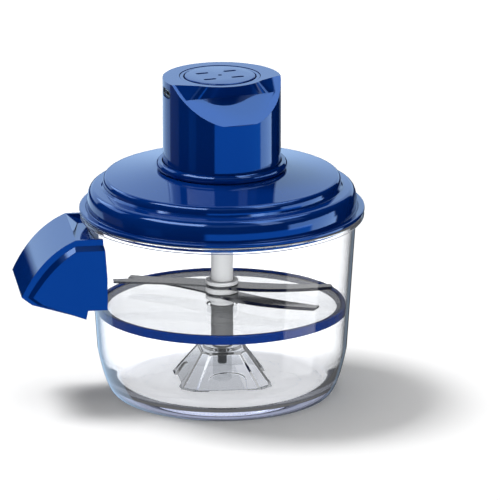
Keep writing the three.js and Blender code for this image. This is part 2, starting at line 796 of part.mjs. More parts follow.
// The base of the head, moulded in one with the case that holds the ring gear.
function headBase() {
  const ledge = gearBottom - seatGap;
  const rim = headInner - seatGap;
  const profile = [
    [outputHubRadius + runGap, headFloor],
    [rim, headFloor],
    [rim, headBaseTop],
    [caseRadius, headBaseTop],
    [caseRadius, caseTop],
    [caseInner, caseTop],
    [caseInner, ledge],
    [carrierRadius + runGap, ledge],
    [carrierRadius + runGap, headFloor + outputHubLength],
    [outputHubRadius + runGap, headFloor + outputHubLength],
    [outputHubRadius + runGap, headFloor],
  ];
  const through = rod(screwRadius + seatGap, headFloor - cutOverrun, headBaseTop + cutOverrun, smallSteps);
  const counterbore = rod(
    screwHeadRadius + seatGap,
    headFloor - cutOverrun,
    headFloor + screwHeadHeight + seatGap,
    smallSteps,
  );
  const hole = moved(join(through, counterbore), headBossPlace, 0);
  const holes = headBossAngles.map((angle) => turned(hole, angle));
  return piece("head_base", cut(revolve(profile, middleSteps), ...holes), "navy");
}

function baseScrews() {
  const shoulder = headFloor + screwHeadHeight;
  const profile = [
    [0, headFloor],
    [screwHeadRadius, headFloor],
    [screwHeadRadius, shoulder],
    [screwRadius, shoulder],
    [screwRadius, shoulder + screwLength - edgeBreak],
    [0, shoulder + screwLength],
  ];
  const screw = moved(revolve(profile, smallSteps), headBossPlace, 0);
  const named = (angle, index) => piece(`base_screw_${index + 1}`, turned(screw, angle), "steel");
  return headBossAngles.map(named);
}

// Half of the angle that a gear tooth takes at a radius, from the involute of its base circle.
function toothHalfAngle(teeth, radius) {
  const pitch = (gearModule * teeth) / 2;
  const base = pitch * Math.cos(pressureAngle * radians);
  const involute = (at) => {
    const angle = Math.acos(Math.min(base / at, 1));
    return Math.tan(angle) - angle;
  };
  return Math.PI / (2 * teeth) + involute(pitch) - involute(radius);
}

// The outline of a toothed wheel with a tooth centred on +X. For a ring gear it outlines the opening.
function gearOutline(teeth, low, high, slack) {
  const rising = [low, high];
  const falling = [...rising].reverse();
  return Array.from({ length: teeth }, (_, tooth) => {
    const centre = (tooth * 2 * Math.PI) / teeth;
    const flank = (radii, side) =>
      radii.map((radius) => {
        const angle = centre + side * (toothHalfAngle(teeth, radius) + slack / (2 * radius));
        return [radius * Math.cos(angle), radius * Math.sin(angle)];
      });
    return [...flank(rising, -1), ...flank(falling, 1)];
  }).flat();
}

function toothedWheel(teeth, bore) {
  const pitch = (gearModule * teeth) / 2;
  const low = pitch - gearModule * dedendumShare;
  const high = pitch + gearModule * addendumShare;
  const wheel = prism(gearOutline(teeth, low, high, -backlash), gearBottom, gearTop - seatGap);
  return cut(wheel, rod(bore, gearBottom - cutOverrun, gearTop + cutOverrun, smallSteps));
}

function ringGear() {
  const low = ringRadius - gearModule * addendumShare;
  const high = ringRadius + gearModule * dedendumShare;
  const outline = gearOutline(ringTeeth, low, high, backlash);
  const opening = prism(outline, gearBottom - cutOverrun, gearTop + cutOverrun);
  return piece("ring_gear", cut(rod(ringOuterRadius, gearBottom, gearTop, largeSteps), opening), "white");
}

const planetAngles = Array.from({ length: planetCount }, (_, index) => (index * 360) / planetCount);

// The carrier: a disc with three pins above, and below it the hub with the hexagonal drive socket.
function planetCarrier() {
  const discBottom = carrierTop - carrierThickness;
  const hub = rod(outputHubRadius, headFloor, carrierTop);
  const disc = rod(carrierRadius, discBottom, carrierTop);
  const pin = moved(rod(planetPinRadius, carrierTop - edgeBreak, gearTop, smallSteps), planetPlace, 0);
  const pins = planetAngles.map((angle) => turned(pin, angle));
  const socket = rod(outputSocketRadius, headFloor - cutOverrun, driveTop + seatGap, driveSides);
  return piece("planet_carrier", cut(join(hub, disc, ...pins), socket), "white");
}

function planets() {
  const wheel = moved(toothedWheel(planetTeeth, planetPinRadius + runGap), planetPlace, 0);
  const named = (angle, index) => piece(`planet_gear_${index + 1}`, turned(wheel, angle), "white");
  return planetAngles.map(named);
}

function sunPinion() {
  return piece("sun_pinion", toothedWheel(sunTeeth, motorShaftRadius + seatGap), "brass");
}

// The motor: a can with a nose that seats in the plate, a tail, and the shaft that carries the sun pinion.
function motor() {
  const bore = motorShaftRadius + seatGap;
  const boreTop = motorBottom + motorShaftSink + seatGap;
  const profile = [
    [bore, motorBottom - motorNoseLength],
    [motorNoseRadius, motorBottom - motorNoseLength],
    [motorNoseRadius, motorBottom],
    [motorRadius, motorBottom],
    [motorRadius, motorTop - edgeBreak],
    [motorRadius - edgeBreak, motorTop],
    [motorTailRadius, motorTop],
    [motorTailRadius, motorTop + motorTailLength],
    [0, motorTop + motorTailLength],
    [0, boreTop],
    [bore, boreTop],
    [bore, motorBottom - motorNoseLength],
  ];
  const plateBottom = caseTop + seatGap;
  const plateTop = plateBottom + motorPlateThickness;
  const plate = sleeve(motorNoseRadius + seatGap, caseRadius, plateBottom, plateTop);
  const shaft = rod(motorShaftRadius, gearBottom, motorBottom + motorShaftSink, smallSteps);
  return [
    piece("motor_can", revolve(profile, middleSteps), "steel"),
    piece("motor_plate", plate, "steel"),
    piece("motor_shaft", shaft, "steel"),
  ];
}

// The cells stand behind the motor, held by a slotted cradle.
function cells() {
  const shoulder = cellTop - cellNubHeight;
  const profile = [
    [0, cellBottom],
    [cellRadius, cellBottom],
    [cellRadius, shoulder - edgeBreak],
    [cellRadius - edgeBreak, shoulder],
    [cellNubRadius, shoulder],
    [cellNubRadius, cellTop],
    [0, cellTop],
  ];
  const cell = moved(revolve(profile, smallSteps), cellPlace, 0);
  const angleAt = (_, index) => cellMiddleAngle + (index - (cellCount - 1) / 2) * cellSpread;
  const angles = Array.from({ length: cellCount }, angleAt);
  const level = (cellBottom + cellTop) / 2;
  const outer = headInner - seatGap;
  const band = sleeve(motorRadius + seatGap, outer, level, level + cradleHeight);
  const frontEdge = motorRadius / 2;
  const low = level - cutOverrun;
  const high = level + cradleHeight + cutOverrun;
  const front = block(outer * 2 + cutOverrun, outer * 2, low, high, 0, frontEdge - outer);
  const hole = moved(rod(cellRadius + seatGap, low, high, smallSteps), cellPlace, 0);
  const holes = angles.map((angle) => turned(hole, angle));
  return [
    ...angles.map((angle, index) => piece(`cell_${index + 1}`, turned(cell, angle), "cell")),
    piece("cell_cradle", cut(band, front, ...holes), "black"),
  ];
}

// The board, a disc with a tongue to the port, and the switch on it under the button.
function electronics() {
  const top = boardLevel + boardThickness;
  const tongueReach = headRadius - edgeBreak - surroundDepth - seatGap;
  const disc = rod(boardRadius, boardLevel, top);
  const tongue = block(tongueReach, boardTongueWidth, boardLevel, top, -tongueReach / 2, 0);
  const body = block(switchWidth, switchWidth, switchBottom, switchTop - edgeBreak);
  const plunger = rod(switchWidth / 4, switchBottom, switchTop, smallSteps);
  return [
    piece("control_board", cut(join(disc, tongue), scoop(headWall + seatGap)), "board"),
    piece("push_switch", moved(join(body, plunger), 0, buttonBack), "black"),
  ];
}

function bezel() {
  const inner = buttonRadius + buttonGap;
  const bottom = headTop - bezelDepth + seatGap;
  const top = headTop - edgeBreak / 2;
  const profile = [
    [inner, bottom],
    [bezelRadius, bottom],
    [bezelRadius, top],
    [inner + edgeBreak, top],
    [inner, top - edgeBreak],
    [inner, bottom],
  ];
  return piece("button_bezel", moved(revolve(profile, middleSteps), 0, buttonBack), "blue");
}

// The button: a disc with four slots and a dot, a boss over the switch, and a skirt with a lip that keeps it
// in. The skirt is open in front, where it passes behind the riser.
function button() {
  const skirtBottom = buttonUnder - buttonSkirtDepth;
  const lipTop = headTop - headWall - seatGap;
  const profile = [
    [0, buttonUnder],
    [buttonRadius - buttonSkirtWall, buttonUnder],
    [buttonRadius - buttonSkirtWall, skirtBottom],
    [buttonRadius + buttonLip, skirtBottom],
    [buttonRadius + buttonLip, lipTop],
    [buttonRadius, lipTop],
    [buttonRadius, buttonTop - edgeBreak],
    [buttonRadius - edgeBreak, buttonTop],
    [0, buttonTop],
  ];
  const bossBottom = switchTop + seatGap + buttonTravel;
  const boss = rod(buttonBossRadius, bossBottom, buttonUnder + edgeBreak, smallSteps);
  const lipBlock = block(bezelRadius * 2, bezelRadius, skirtBottom - cutOverrun, lipTop);
  const lipFront = moved(lipBlock, 0, -buttonLipStart - bezelRadius / 2);
  const lipCut = cut(lipFront, rod(buttonRadius, skirtBottom - cutOverrun * 2, lipTop + cutOverrun));
  const frontBlock = block(bezelRadius * 2, bezelRadius, skirtBottom - cutOverrun, buttonUnder - seatGap);
  const skirtWindow = moved(frontBlock, 0, -buttonWindowStart - bezelRadius / 2);
  const low = buttonTop - slotDepth;
  const high = buttonTop + cutOverrun;
  const slots = [-1, 1].flatMap((across) =>
    [-1, 1].map((along) =>
      block(slotLength, slotWidth, low, high, across * slotAcross, along * slotAlong),
    ),
  );
  const dot = rod(dotRadius, low, high, smallSteps);
  const cap = cut(join(revolve(profile, middleSteps), boss), lipCut, skirtWindow, dot, ...slots);
  return piece("button_cap", moved(cap, 0, buttonBack), "blue");
}

// The spring under the button: one round wire wound about the switch.
function buttonSpring() {
  const bottom = boardLevel + boardThickness + seatGap + springWire;
  const top = buttonUnder - seatGap - springWire;
  const rings = springTurns * springTurnSteps;
  const positions = [];
  const faces = [];
  for (let ring = 0; ring <= rings; ring += 1) {
    const turn = (ring / springTurnSteps) * 2 * Math.PI;
    const level = bottom + ((top - bottom) * ring) / rings;
    for (let side = 0; side < springSides; side += 1) {
      const around = (side / springSides) * 2 * Math.PI;
      const radius = springRadius + springWire * Math.cos(around);
      const up = level + springWire * Math.sin(around);
      positions.push(radius * Math.cos(turn), radius * Math.sin(turn), up);
    }
  }
  for (let ring = 0; ring < rings; ring += 1) {
    for (let side = 0; side < springSides; side += 1) {
      const here = ring * springSides + side;
      const beside = ring * springSides + ((side + 1) % springSides);
      faces.push(here, beside + springSides, beside, here, here + springSides, beside + springSides);
    }
  }
  const last = rings * springSides;
  for (let side = 1; side < springSides - 1; side += 1) {
    faces.push(0, side, side + 1, last, last + side + 1, last + side);
  }
  const geometry = new THREE.BufferGeometry();
  geometry.setAttribute("position", new THREE.Float32BufferAttribute(positions, 3));
  geometry.setIndex(faces);
  return piece("button_spring", moved(solidOf(geometry), 0, buttonBack), "steel");
}

// The bowl's outside with a gap, as a tool that shapes what lies against it.
function bowlEnvelope(gap) {
  return revolve([
    [0, 0],
    [bowlRadiusAt(0) + gap, 0],
    [bowlRimRadius + gap, bowlFlangeBottom],
    [bowlFlangeRadius + gap, bowlFlangeBottom - gap],
    [bowlFlangeRadius + gap, bowlHeight],
    [0, bowlHeight],
  ]);
}

// The side outline of the handle, inset along its spine and top: from the tip, under to the bowl, and back.
function handleOutline(inset) {
  const outline = new THREE.Shape();
  const inside = bowlInnerRim - bowlTaper;
  const midway = (handleTip + handleCrest) / 2 + handleSpineBulge - inset;
  const midLevel = handleTop - handleTipDrop / 2 + handleSpineBulge * 2 - inset;
  outline.moveTo(-handleTip + inset, handleTop - handleTipDrop);
  outline.lineTo(-handleLip + inset, handleTop - handleLipDrop);
  outline.lineTo(-handleHeel, handleTop - handleHeelDrop);
  outline.lineTo(-handleBack, handleTop - handleNotchDrop);
  outline.lineTo(-inside, handleTop - handleNotchDrop);
  outline.lineTo(-inside, handleTop - inset);
  outline.lineTo(-handleCrest, handleTop - inset);
  outline.quadraticCurveTo(-midway, midLevel, -handleTip + inset, handleTop - handleTipDrop);
  return outline;
}

// The finger space of the handle, which runs out through its underside.
function handleGrip() {
  const space = new THREE.Shape();
  const below = handleTop - handleHeelDrop - cutOverrun;
  const midway = (handleTip + handleCrest) / 2 + handleSpineBulge - handleWall;
  const midLevel = handleTop - handleTipDrop / 2 + handleSpineBulge * 2 - handleWall;
  space.moveTo(-handleTip + handleWall, handleTop - handleTipDrop);
  space.lineTo(-handleTip + handleWall, below);
  space.lineTo(-handleBack - handleWall, below);
  space.lineTo(-handleBack - handleWall, handleRoof);
  space.lineTo(-handleCrest, handleRoof);
  space.quadraticCurveTo(-midway, midLevel, -handleTip + handleWall, handleTop - handleTipDrop);
  return space;
}

// What the top of the handle loses between its side rims: a facet that falls from the crest to a skewed ledge
// under the bowl's flange.
function handleLedge() {
  const foot = bowlRimRadius + handleLedgeReach;
  const above = handleTop + cutOverrun;
  const side = handleWidth / 2 - handleRimDepth - handleLedgeRim;
  const facet = slab(
    [
      [-handleCrest, handleTop],
      [-foot, handleLedgeLevel],
      [0, handleLedgeLevel],
      [0, above],
      [-handleCrest, above],
    ],
    side * 2,
  );
  const plan = [
    [-handleCrest, -side],
    [0, -side],
    [0, side],
    [-foot, side],
    [-handleCrest, -handleLedgeFront],
  ];
  return join(facet, prism(plan, handleLedgeLevel, above));
}

// The handle: a hollow pull with a back wall, a stepped rim along its sides and a ledge for the lid's flange.
function handleShell() {
  const panels = slab(handleOutline(handleRimWidth), handleWidth);
  const body = join(slab(handleOutline(0), handleWidth - handleRimDepth * 2), panels);
  const innerWidth = handleWidth - handleWall * 2 - handleRimDepth;
  const pocketLow = handleTop - handleHeelDrop - cutOverrun;
  const pocketFrom = -handleBack;
  const pocket = block(handleBack, innerWidth, pocketLow, handleRoof, pocketFrom / 2, 0);
  const holeFrom = -handleBack - handleWall - cutOverrun;
  const holeAt = (drop) =>
    crossRod(handleScrewRadius + seatGap, holeFrom, -handleBack + cutOverrun, handleTop - drop);
  const holes = handleScrewDrops.map(holeAt);
  const hollow = [slab(handleGrip(), innerWidth), pocket, handleLedge(), ...holes];
  return piece("handle_shell", cut(body, ...hollow, bowlEnvelope(seatGap)), "blue");
}

// The saddle: it fills the space between the round bowl and the flat back wall of the handle.
function handleSaddle() {
  const width = handleWidth - handleWall * 2 - handleRimDepth - seatGap * 2;
  const bottom = handleTop - handleNotchDrop;
  const from = -handleBack + seatGap;
  const body = block(-from, width, bottom, handleTop - saddleTopDrop, from / 2, 0);
  const pilotTo = from + handleScrewGrip + seatGap;
  const pilots = handleScrewDrops.map((drop) =>
    crossRod(handleScrewRadius + seatGap, from - cutOverrun, pilotTo, handleTop - drop),
  );
  return piece("handle_saddle", cut(body, ...pilots, bowlEnvelope(seatGap)), "navy");
}

function handleScrews() {
  const names = ["upper", "lower"];
  return handleScrewDrops.map((drop, index) => {
    const seat = -handleBack - handleWall - seatGap;
    const level = handleTop - drop;
    const head = crossRod(handleScrewHeadRadius, seat - handleScrewHeadHeight, seat, level);
    const shankTo = -handleBack + seatGap + handleScrewGrip;
    const shank = crossRod(handleScrewRadius, seat - edgeBreak, shankTo, level);
    return piece(`handle_screw_${names[index]}`, join(head, shank), "steel");
  });
}

function head() {
  const group = new THREE.Group();
  group.rotation.z = headTurn * radians;
  group.add(headHousing(), headBase(), ...baseScrews(), bezel(), button(), buttonSpring());
  group.add(ringGear(), planetCarrier(), ...planets(), sunPinion(), ...motor());
  group.add(...cells(), ...electronics(), ...chargePort());
  return group;
}

const group = new THREE.Group();
group.name = "vegetable_chopper";
group.add(bowl(), pedestal(), pivotPin(), ...tray(), spindleShaft(), ...blades());
group.add(lidShell(), lidSeal(), shaftBushing(), collarRing(), head());
group.add(handleShell(), handleSaddle(), ...handleScrews());

export default group;
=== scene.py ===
import math

import bmesh
import bpy
from mathutils import Matrix, Vector


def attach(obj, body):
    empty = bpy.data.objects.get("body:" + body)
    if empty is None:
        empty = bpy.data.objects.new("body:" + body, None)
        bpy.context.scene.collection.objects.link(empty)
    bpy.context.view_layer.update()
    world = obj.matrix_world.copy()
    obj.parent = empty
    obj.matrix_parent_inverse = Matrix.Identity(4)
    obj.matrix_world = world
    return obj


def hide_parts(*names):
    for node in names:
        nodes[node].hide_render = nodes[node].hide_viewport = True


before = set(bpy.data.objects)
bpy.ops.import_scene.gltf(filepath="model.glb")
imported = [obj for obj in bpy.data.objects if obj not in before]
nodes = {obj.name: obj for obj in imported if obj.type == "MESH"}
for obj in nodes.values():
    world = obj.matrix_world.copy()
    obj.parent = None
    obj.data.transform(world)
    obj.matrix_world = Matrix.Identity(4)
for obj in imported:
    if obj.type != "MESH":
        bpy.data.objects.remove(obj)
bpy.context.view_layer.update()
mm = 0.001
weldDistance = 0.001 * mm
cutPast = 2  # how far a cutting tool runs past what it cuts, in mm
print("scene: frame loaded")


# Shaders.
def addNode(tree, kind, **values):
    node = tree.nodes.new(kind)
    for name, value in values.items():
        if name in node.inputs:
            node.inputs[name].default_value = value
        else:
            setattr(node, name, value)
    return node


def addMath(tree, operation, *values):
    node = addNode(tree, "ShaderNodeMath", operation=operation)
    for index, value in enumerate(values):
        if isinstance(value, (int, float)):
            node.inputs[index].default_value = value
        else:
            tree.links.new(value, node.inputs[index])
    return node.outputs[0]


def newMaterial(name, color, **sockets):
    material = bpy.data.materials.new(name)
    material.use_nodes = True
    shader = material.node_tree.nodes["Principled BSDF"]
    shader.inputs["Base Color"].default_value = (*color, 1)
    for socket, value in sockets.items():
        shader.inputs[socket].default_value = value
    return material, shader


def mixColours(tree, share, first, second):
    mix = addNode(tree, "ShaderNodeMix", data_type="RGBA")
    for socket, colour in ((6, first), (7, second)):
        mix.inputs[socket].default_value = (*colour, 1)
    tree.links.new(share, mix.inputs[0])
    return mix.outputs[2]


def mixShaders(tree, share, first, second):
    mix = addNode(tree, "ShaderNodeMixShader")
    for socket, source in enumerate((share, first.outputs[0], second.outputs[0])):
        tree.links.new(source, mix.inputs[socket])
    return mix


def noiseOn(tree, scale, detail, stretch=None):
    where = addNode(tree, "ShaderNodeTexCoord").outputs["Object"]
    if stretch:
        mapping = addNode(tree, "ShaderNodeMapping")
        mapping.inputs["Scale"].default_value = stretch
        tree.links.new(where, mapping.inputs["Vector"])
        where = mapping.outputs["Vector"]
    noise = addNode(tree, "ShaderNodeTexNoise", Scale=scale, Detail=detail)
    tree.links.new(where, noise.inputs["Vector"])
    return noise.outputs["Fac"]


def spread(tree, source, low, high, begin=0.3, end=0.7):
    span = addNode(tree, "ShaderNodeMapRange")
    for name, value in zip(("From Min", "From Max", "To Min", "To Max"), (begin, end, low, high)):
        span.inputs[name].default_value = value
    tree.links.new(source, span.inputs["Value"])
    return span.outputs["Result"]


def addSurface(tree, shader, grain, roughness, stretch=None):
    # fine grain as bump, and slow smudges in the gloss
    bump = addNode(tree, "ShaderNodeBump", Strength=1.0, Distance=grain["height"])
    tree.links.new(noiseOn(tree, grain["scale"], 4.0, stretch), bump.inputs["Height"])
    tree.links.new(bump.outputs["Normal"], shader.inputs["Normal"])
    smudge = noiseOn(tree, grain["smudge"], 5.0)
    tree.links.new(spread(tree, smudge, *roughness), shader.inputs["Roughness"])


def addTint(tree, shader, dark, light, scale):
    # slow drift between two close colours
    drift = spread(tree, noiseOn(tree, scale, 3.0), 0, 1)
    tree.links.new(mixColours(tree, drift, dark, light), shader.inputs["Base Color"])


# Noise scales are in cells to the metre and grain heights in metres.
grains = {
    "gloss": {"scale": 900, "height": 0.0000035, "smudge": 18, "tint": 14},
    "clear": {"scale": 240, "height": 0.000004, "smudge": 22},
    "metal": {"scale": 500, "height": 0.000004, "smudge": 40},
    "soft": {"scale": 700, "height": 0.00001, "smudge": 30, "tint": 25},
}
blueLook = {
    "dark": (0.0005, 0.019, 0.142), "light": (0.0006, 0.023, 0.158),
    "navyDark": (0.001, 0.012, 0.075), "navyLight": (0.003, 0.022, 0.12),
    "shine": (0.35, 0.55, 1.0), "ior": 1.6, "roughness": (0.04, 0.08),
}
clearLook = {
    "bowl": (0.98, 0.985, 0.99), "bowlRoughness": (0.0, 0.02),
    "tray": (0.97, 0.975, 0.98), "trayRoughness": (0.01, 0.05),
    # edge is painted shade: the blue-grey the clear plastic is given where it is seen edge-on, between the
    # two facing shares beside it
    "edge": (0.46, 0.52, 0.62), "paintedShadeStart": 0.72, "paintedShadeEnd": 0.97, "ior": 1.5,
    "depth": (0.64, 0.67, 0.78), "density": 22.0, "straightTint": (0.90, 0.905, 0.91), "mostBounces": 3.5,
}


def blueMaterial(name, dark, light):
    material, shader = newMaterial(name, dark)
    shader.inputs["IOR"].default_value = blueLook["ior"]
    shader.inputs["Specular Tint"].default_value = (*blueLook["shine"], 1)
    addSurface(material.node_tree, shader, grains["gloss"], blueLook["roughness"])
    addTint(material.node_tree, shader, dark, light, grains["gloss"]["tint"])
    return material


def clearMaterial(name, look, tint, roughness, density=0):
    material, shader = newMaterial(name, tint)
    shader.inputs["Transmission Weight"].default_value = 1
    shader.inputs["IOR"].default_value = look["ior"]
    tree = material.node_tree
    addSurface(tree, shader, grains["clear"], roughness)
    # painted shade: seen edge-on, the tint darkens to the edge colour, standing in for the dark lines along
    # the silhouettes of clear plastic
    facing = addNode(tree, "ShaderNodeLayerWeight", Blend=0.5).outputs["Facing"]
    paintedEdgeShade = spread(tree, facing, 0, 1, look["paintedShadeStart"], look["paintedShadeEnd"])
    edges = mixColours(tree, paintedEdgeShade, tint, look["edge"])
    tree.links.new(edges, shader.inputs["Base Color"])
    # lamps reach what stands in the bowl, and light that is caught between the walls goes straight on
    path = addNode(tree, "ShaderNodeLightPath").outputs
    caught = addMath(tree, "GREATER_THAN", path["Ray Depth"], look["mostBounces"])
    straight = addMath(tree, "MAXIMUM", path["Is Shadow Ray"], caught)
    passing = addNode(tree, "ShaderNodeBsdfTransparent", Color=(*look["straightTint"], 1))
    output = tree.nodes["Material Output"]
    tree.links.new(mixShaders(tree, straight, shader, passing).outputs[0], output.inputs["Surface"])
    if density:
        depth = addNode(tree, "ShaderNodeVolumeAbsorption", Density=density, Color=(*look["depth"], 1))
        tree.links.new(depth.outputs[0], output.inputs["Volume"])
    return material


def metalMaterial(name, color, roughness, stretch):
    material, shader = newMaterial(name, color, Metallic=1.0)
    addSurface(material.node_tree, shader, grains["metal"], roughness, stretch)
    return material


def softMaterial(name, dark, light, roughness):
    material, shader = newMaterial(name, dark)
    addSurface(material.node_tree, shader, grains["soft"], roughness)
    addTint(material.node_tree, shader, dark, light, grains["soft"]["tint"])
    return material


blue = blueMaterial("blueGloss", blueLook["dark"], blueLook["light"])
navy = blueMaterial("navyPlastic", blueLook["navyDark"], blueLook["navyLight"])
clear = clearMaterial(
    "clearBowlPlastic", clearLook, clearLook["bowl"], clearLook["bowlRoughness"], clearLook["density"])
clearInner = clearMaterial("clearTrayPlastic", clearLook, clearLook["tray"], clearLook["trayRoughness"])
white = softMaterial("whiteMoulding", (0.80, 0.80, 0.79), (0.84, 0.84, 0.83), (0.28, 0.36))
polished = metalMaterial("polishedSteel", (0.60, 0.61, 0.63), (0.08, 0.2), (1, 9, 1))
steel = metalMaterial("plainSteel", (0.58, 0.59, 0.61), (0.25, 0.4), (1, 1, 12))
brass = metalMaterial("pinionBrass", (0.70, 0.50, 0.20), (0.25, 0.35), (1, 1, 6))
silicone = softMaterial("sealSilicone", (0.74, 0.76, 0.79), (0.80, 0.82, 0.84), (0.5, 0.65))
black = softMaterial("blackMoulding", (0.012, 0.012, 0.014), (0.02, 0.02, 0.022), (0.4, 0.55))
board = softMaterial("boardLaminate", (0.01, 0.075, 0.03), (0.016, 0.1, 0.04), (0.35, 0.5))
sleeve = softMaterial("cellSleeve", (0.06, 0.20, 0.10), (0.07, 0.23, 0.12), (0.25, 0.35))
print("scene: finishes made")


# Tools.
def keepMesh(piece):
    # the evaluated shape becomes the piece's own plain mesh
    bpy.context.view_layer.update()
    graph = bpy.context.evaluated_depsgraph_get()
    mesh = bpy.data.meshes.new_from_object(piece.evaluated_get(graph))
    piece.modifiers.clear()
    piece.data = mesh
    return piece


def newPiece(name, points, faces, material=None):
    mesh = bpy.data.meshes.new(name)
    mesh.from_pydata([Vector(point) * mm for point in points], [], faces)
    piece = bpy.data.objects.new(name, mesh)
    bpy.context.scene.collection.objects.link(piece)
    if material:
        mesh.materials.append(material)
    return piece


def faceOut(piece):
    shell = bmesh.new()
    shell.from_mesh(piece.data)
    bmesh.ops.remove_doubles(shell, verts=shell.verts, dist=weldDistance)
    bmesh.ops.recalc_face_normals(shell, faces=shell.faces)
    shell.to_mesh(piece.data)
    shell.free()
    return piece


def shadeSmooth(piece, angle=35):
    piece.data.shade_smooth()
    piece.data.set_sharp_from_angle(angle=math.radians(angle))
    return piece


def carve(piece, *tools, operation="DIFFERENCE"):
    for tool in tools:
        cutter = piece.modifiers.new("cut", "BOOLEAN")
        cutter.object = tool
        cutter.operation = operation
        cutter.solver = "EXACT"
    keepMesh(piece)
    for tool in tools:
        bpy.data.objects.remove(tool)
    return piece


def repaint(piece, material):
    piece.data.materials.clear()
    piece.data.materials.append(material)
    return piece


def stackFaces(count, layers=1):
    # both ends and the walls of a stack of outlines, each with the same number of points
    faces = [list(range(count)), list(range(count * layers, count * (layers + 1)))]
    for base in range(0, count * layers, count):
        faces += [(base + i, base + (i + 1) % count, base + count + (i + 1) % count, base + count + i)
                  for i in range(count)]
    return faces


cutCleaning = {"near": 0.05, "flatDegrees": 0.6, "short": 0.03}


def tidyMesh(piece):
    # short edges and split flats left by the cuts would keep the edge rounding from reaching its width
    s = cutCleaning
    shell = bmesh.new()
    shell.from_mesh(piece.data)
    bmesh.ops.remove_doubles(shell, verts=shell.verts, dist=s["near"] * mm)
    flat = math.radians(s["flatDegrees"])
    bmesh.ops.dissolve_limit(shell, angle_limit=flat, verts=shell.verts, edges=shell.edges)
    bmesh.ops.dissolve_degenerate(shell, dist=s["short"] * mm, edges=shell.edges)
    shell.to_mesh(piece.data)
    shell.free()


def easeEdges(piece, width, segments=3, angle=30):
    tidyMesh(piece)
    bevel = piece.modifiers.new("edges", "BEVEL")
    bevel.width = width * mm
    bevel.segments = segments
    bevel.limit_method = "ANGLE"
    bevel.angle_limit = math.radians(angle)
    bevel.harden_normals = True
    bevel.use_clamp_overlap = True
    bevel.miter_outer = "MITER_ARC"
    piece.data.shade_smooth()
    return keepMesh(piece)


def place(piece, body, slotName, *replaced):
    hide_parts(*replaced)
    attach(piece, body)
    return piece


def shift(x, y, z):
    return Matrix.Translation(Vector((x, y, z)) * mm)


def turnPiece(piece, degrees, move=(0, 0, 0)):
    piece.data.transform(Matrix.Rotation(math.radians(degrees), 4, "Z") @ shift(*move))
    return piece


def bend(start, control, end, steps=20):
    curve = []
    for step in range(steps + 1):
        t = step / steps
        curve.append(tuple(
            (1 - t) ** 2 * a + 2 * t * (1 - t) * b + t * t * c for a, b, c in zip(start, control, end)
        ))
    return curve


# How much of a side one rounding may take, the straight kept beside an arc as a share of its reach, and the
# degrees between the points of an arc.
rounding = {"mostOfSide": 0.42, "straight": 0.15, "degrees": 13, "least": 0.01}


def soften(points, closed):
    # rounds each corner that names a radius, with a short straight beside the arc to keep flats flat
    count, most, straight = len(points), rounding["mostOfSide"], rounding["straight"]
    result = []
    for index, point in enumerate(points):
        corner = Vector(point[:2])
        radius = point[2] if len(point) > 2 else 0
        if not radius or (not closed and index in (0, count - 1)):
            result.append(corner)
            continue
        before = Vector(points[index - 1][:2]) - corner
        after = Vector(points[(index + 1) % count][:2]) - corner
        inner = before.angle(after)
        reach = min(radius / math.tan(inner / 2), most * before.length, most * after.length)
        if reach < rounding["least"]:
            result.append(corner)
            continue
        radius = reach * math.tan(inner / 2)
        before.normalize()
        after.normalize()
        centre = corner + (before + after).normalized() * radius / math.sin(inner / 2)
        first, last = corner + before * reach, corner + after * reach
        sweep = (first - centre).angle_signed(last - centre)
        steps = max(2, round(abs(sweep) / math.radians(rounding["degrees"])))
        arm = first - centre
        result.append(first + before * reach * straight)
        for step in range(steps + 1):
            turn = -sweep * step / steps
            result.append(centre + Vector((
                arm.x * math.cos(turn) - arm.y * math.sin(turn),
                arm.x * math.sin(turn) + arm.y * math.cos(turn),
            )))
        result.append(last + after * reach * straight)
    return result


def newTree(name, shape, **inputs):
    # a Geometry Nodes group that takes the piece's own shape, the named inputs and a material
    tree = bpy.data.node_groups.new(name, "GeometryNodeTree")
    for label, kind in ((shape, "Geometry"), *inputs.items(), ("Material", "Material")):
        tree.interface.new_socket(label, in_out="INPUT", socket_type="NodeSocket" + kind)
    tree.interface.new_socket("Geometry", in_out="OUTPUT", socket_type="NodeSocketGeometry")
    return tree, tree.links.new, addNode(tree, "NodeGroupInput").outputs


def paintTree(tree, shape, material):
    real = addNode(tree, "GeometryNodeRealizeInstances")
    paint = addNode(tree, "GeometryNodeSetMaterial")
    tree.links.new(shape, real.inputs[0])
    tree.links.new(real.outputs[0], paint.inputs["Geometry"])
    tree.links.new(material, paint.inputs["Material"])
    tree.links.new(paint.outputs[0], addNode(tree, "NodeGroupOutput").inputs[0])
    return tree


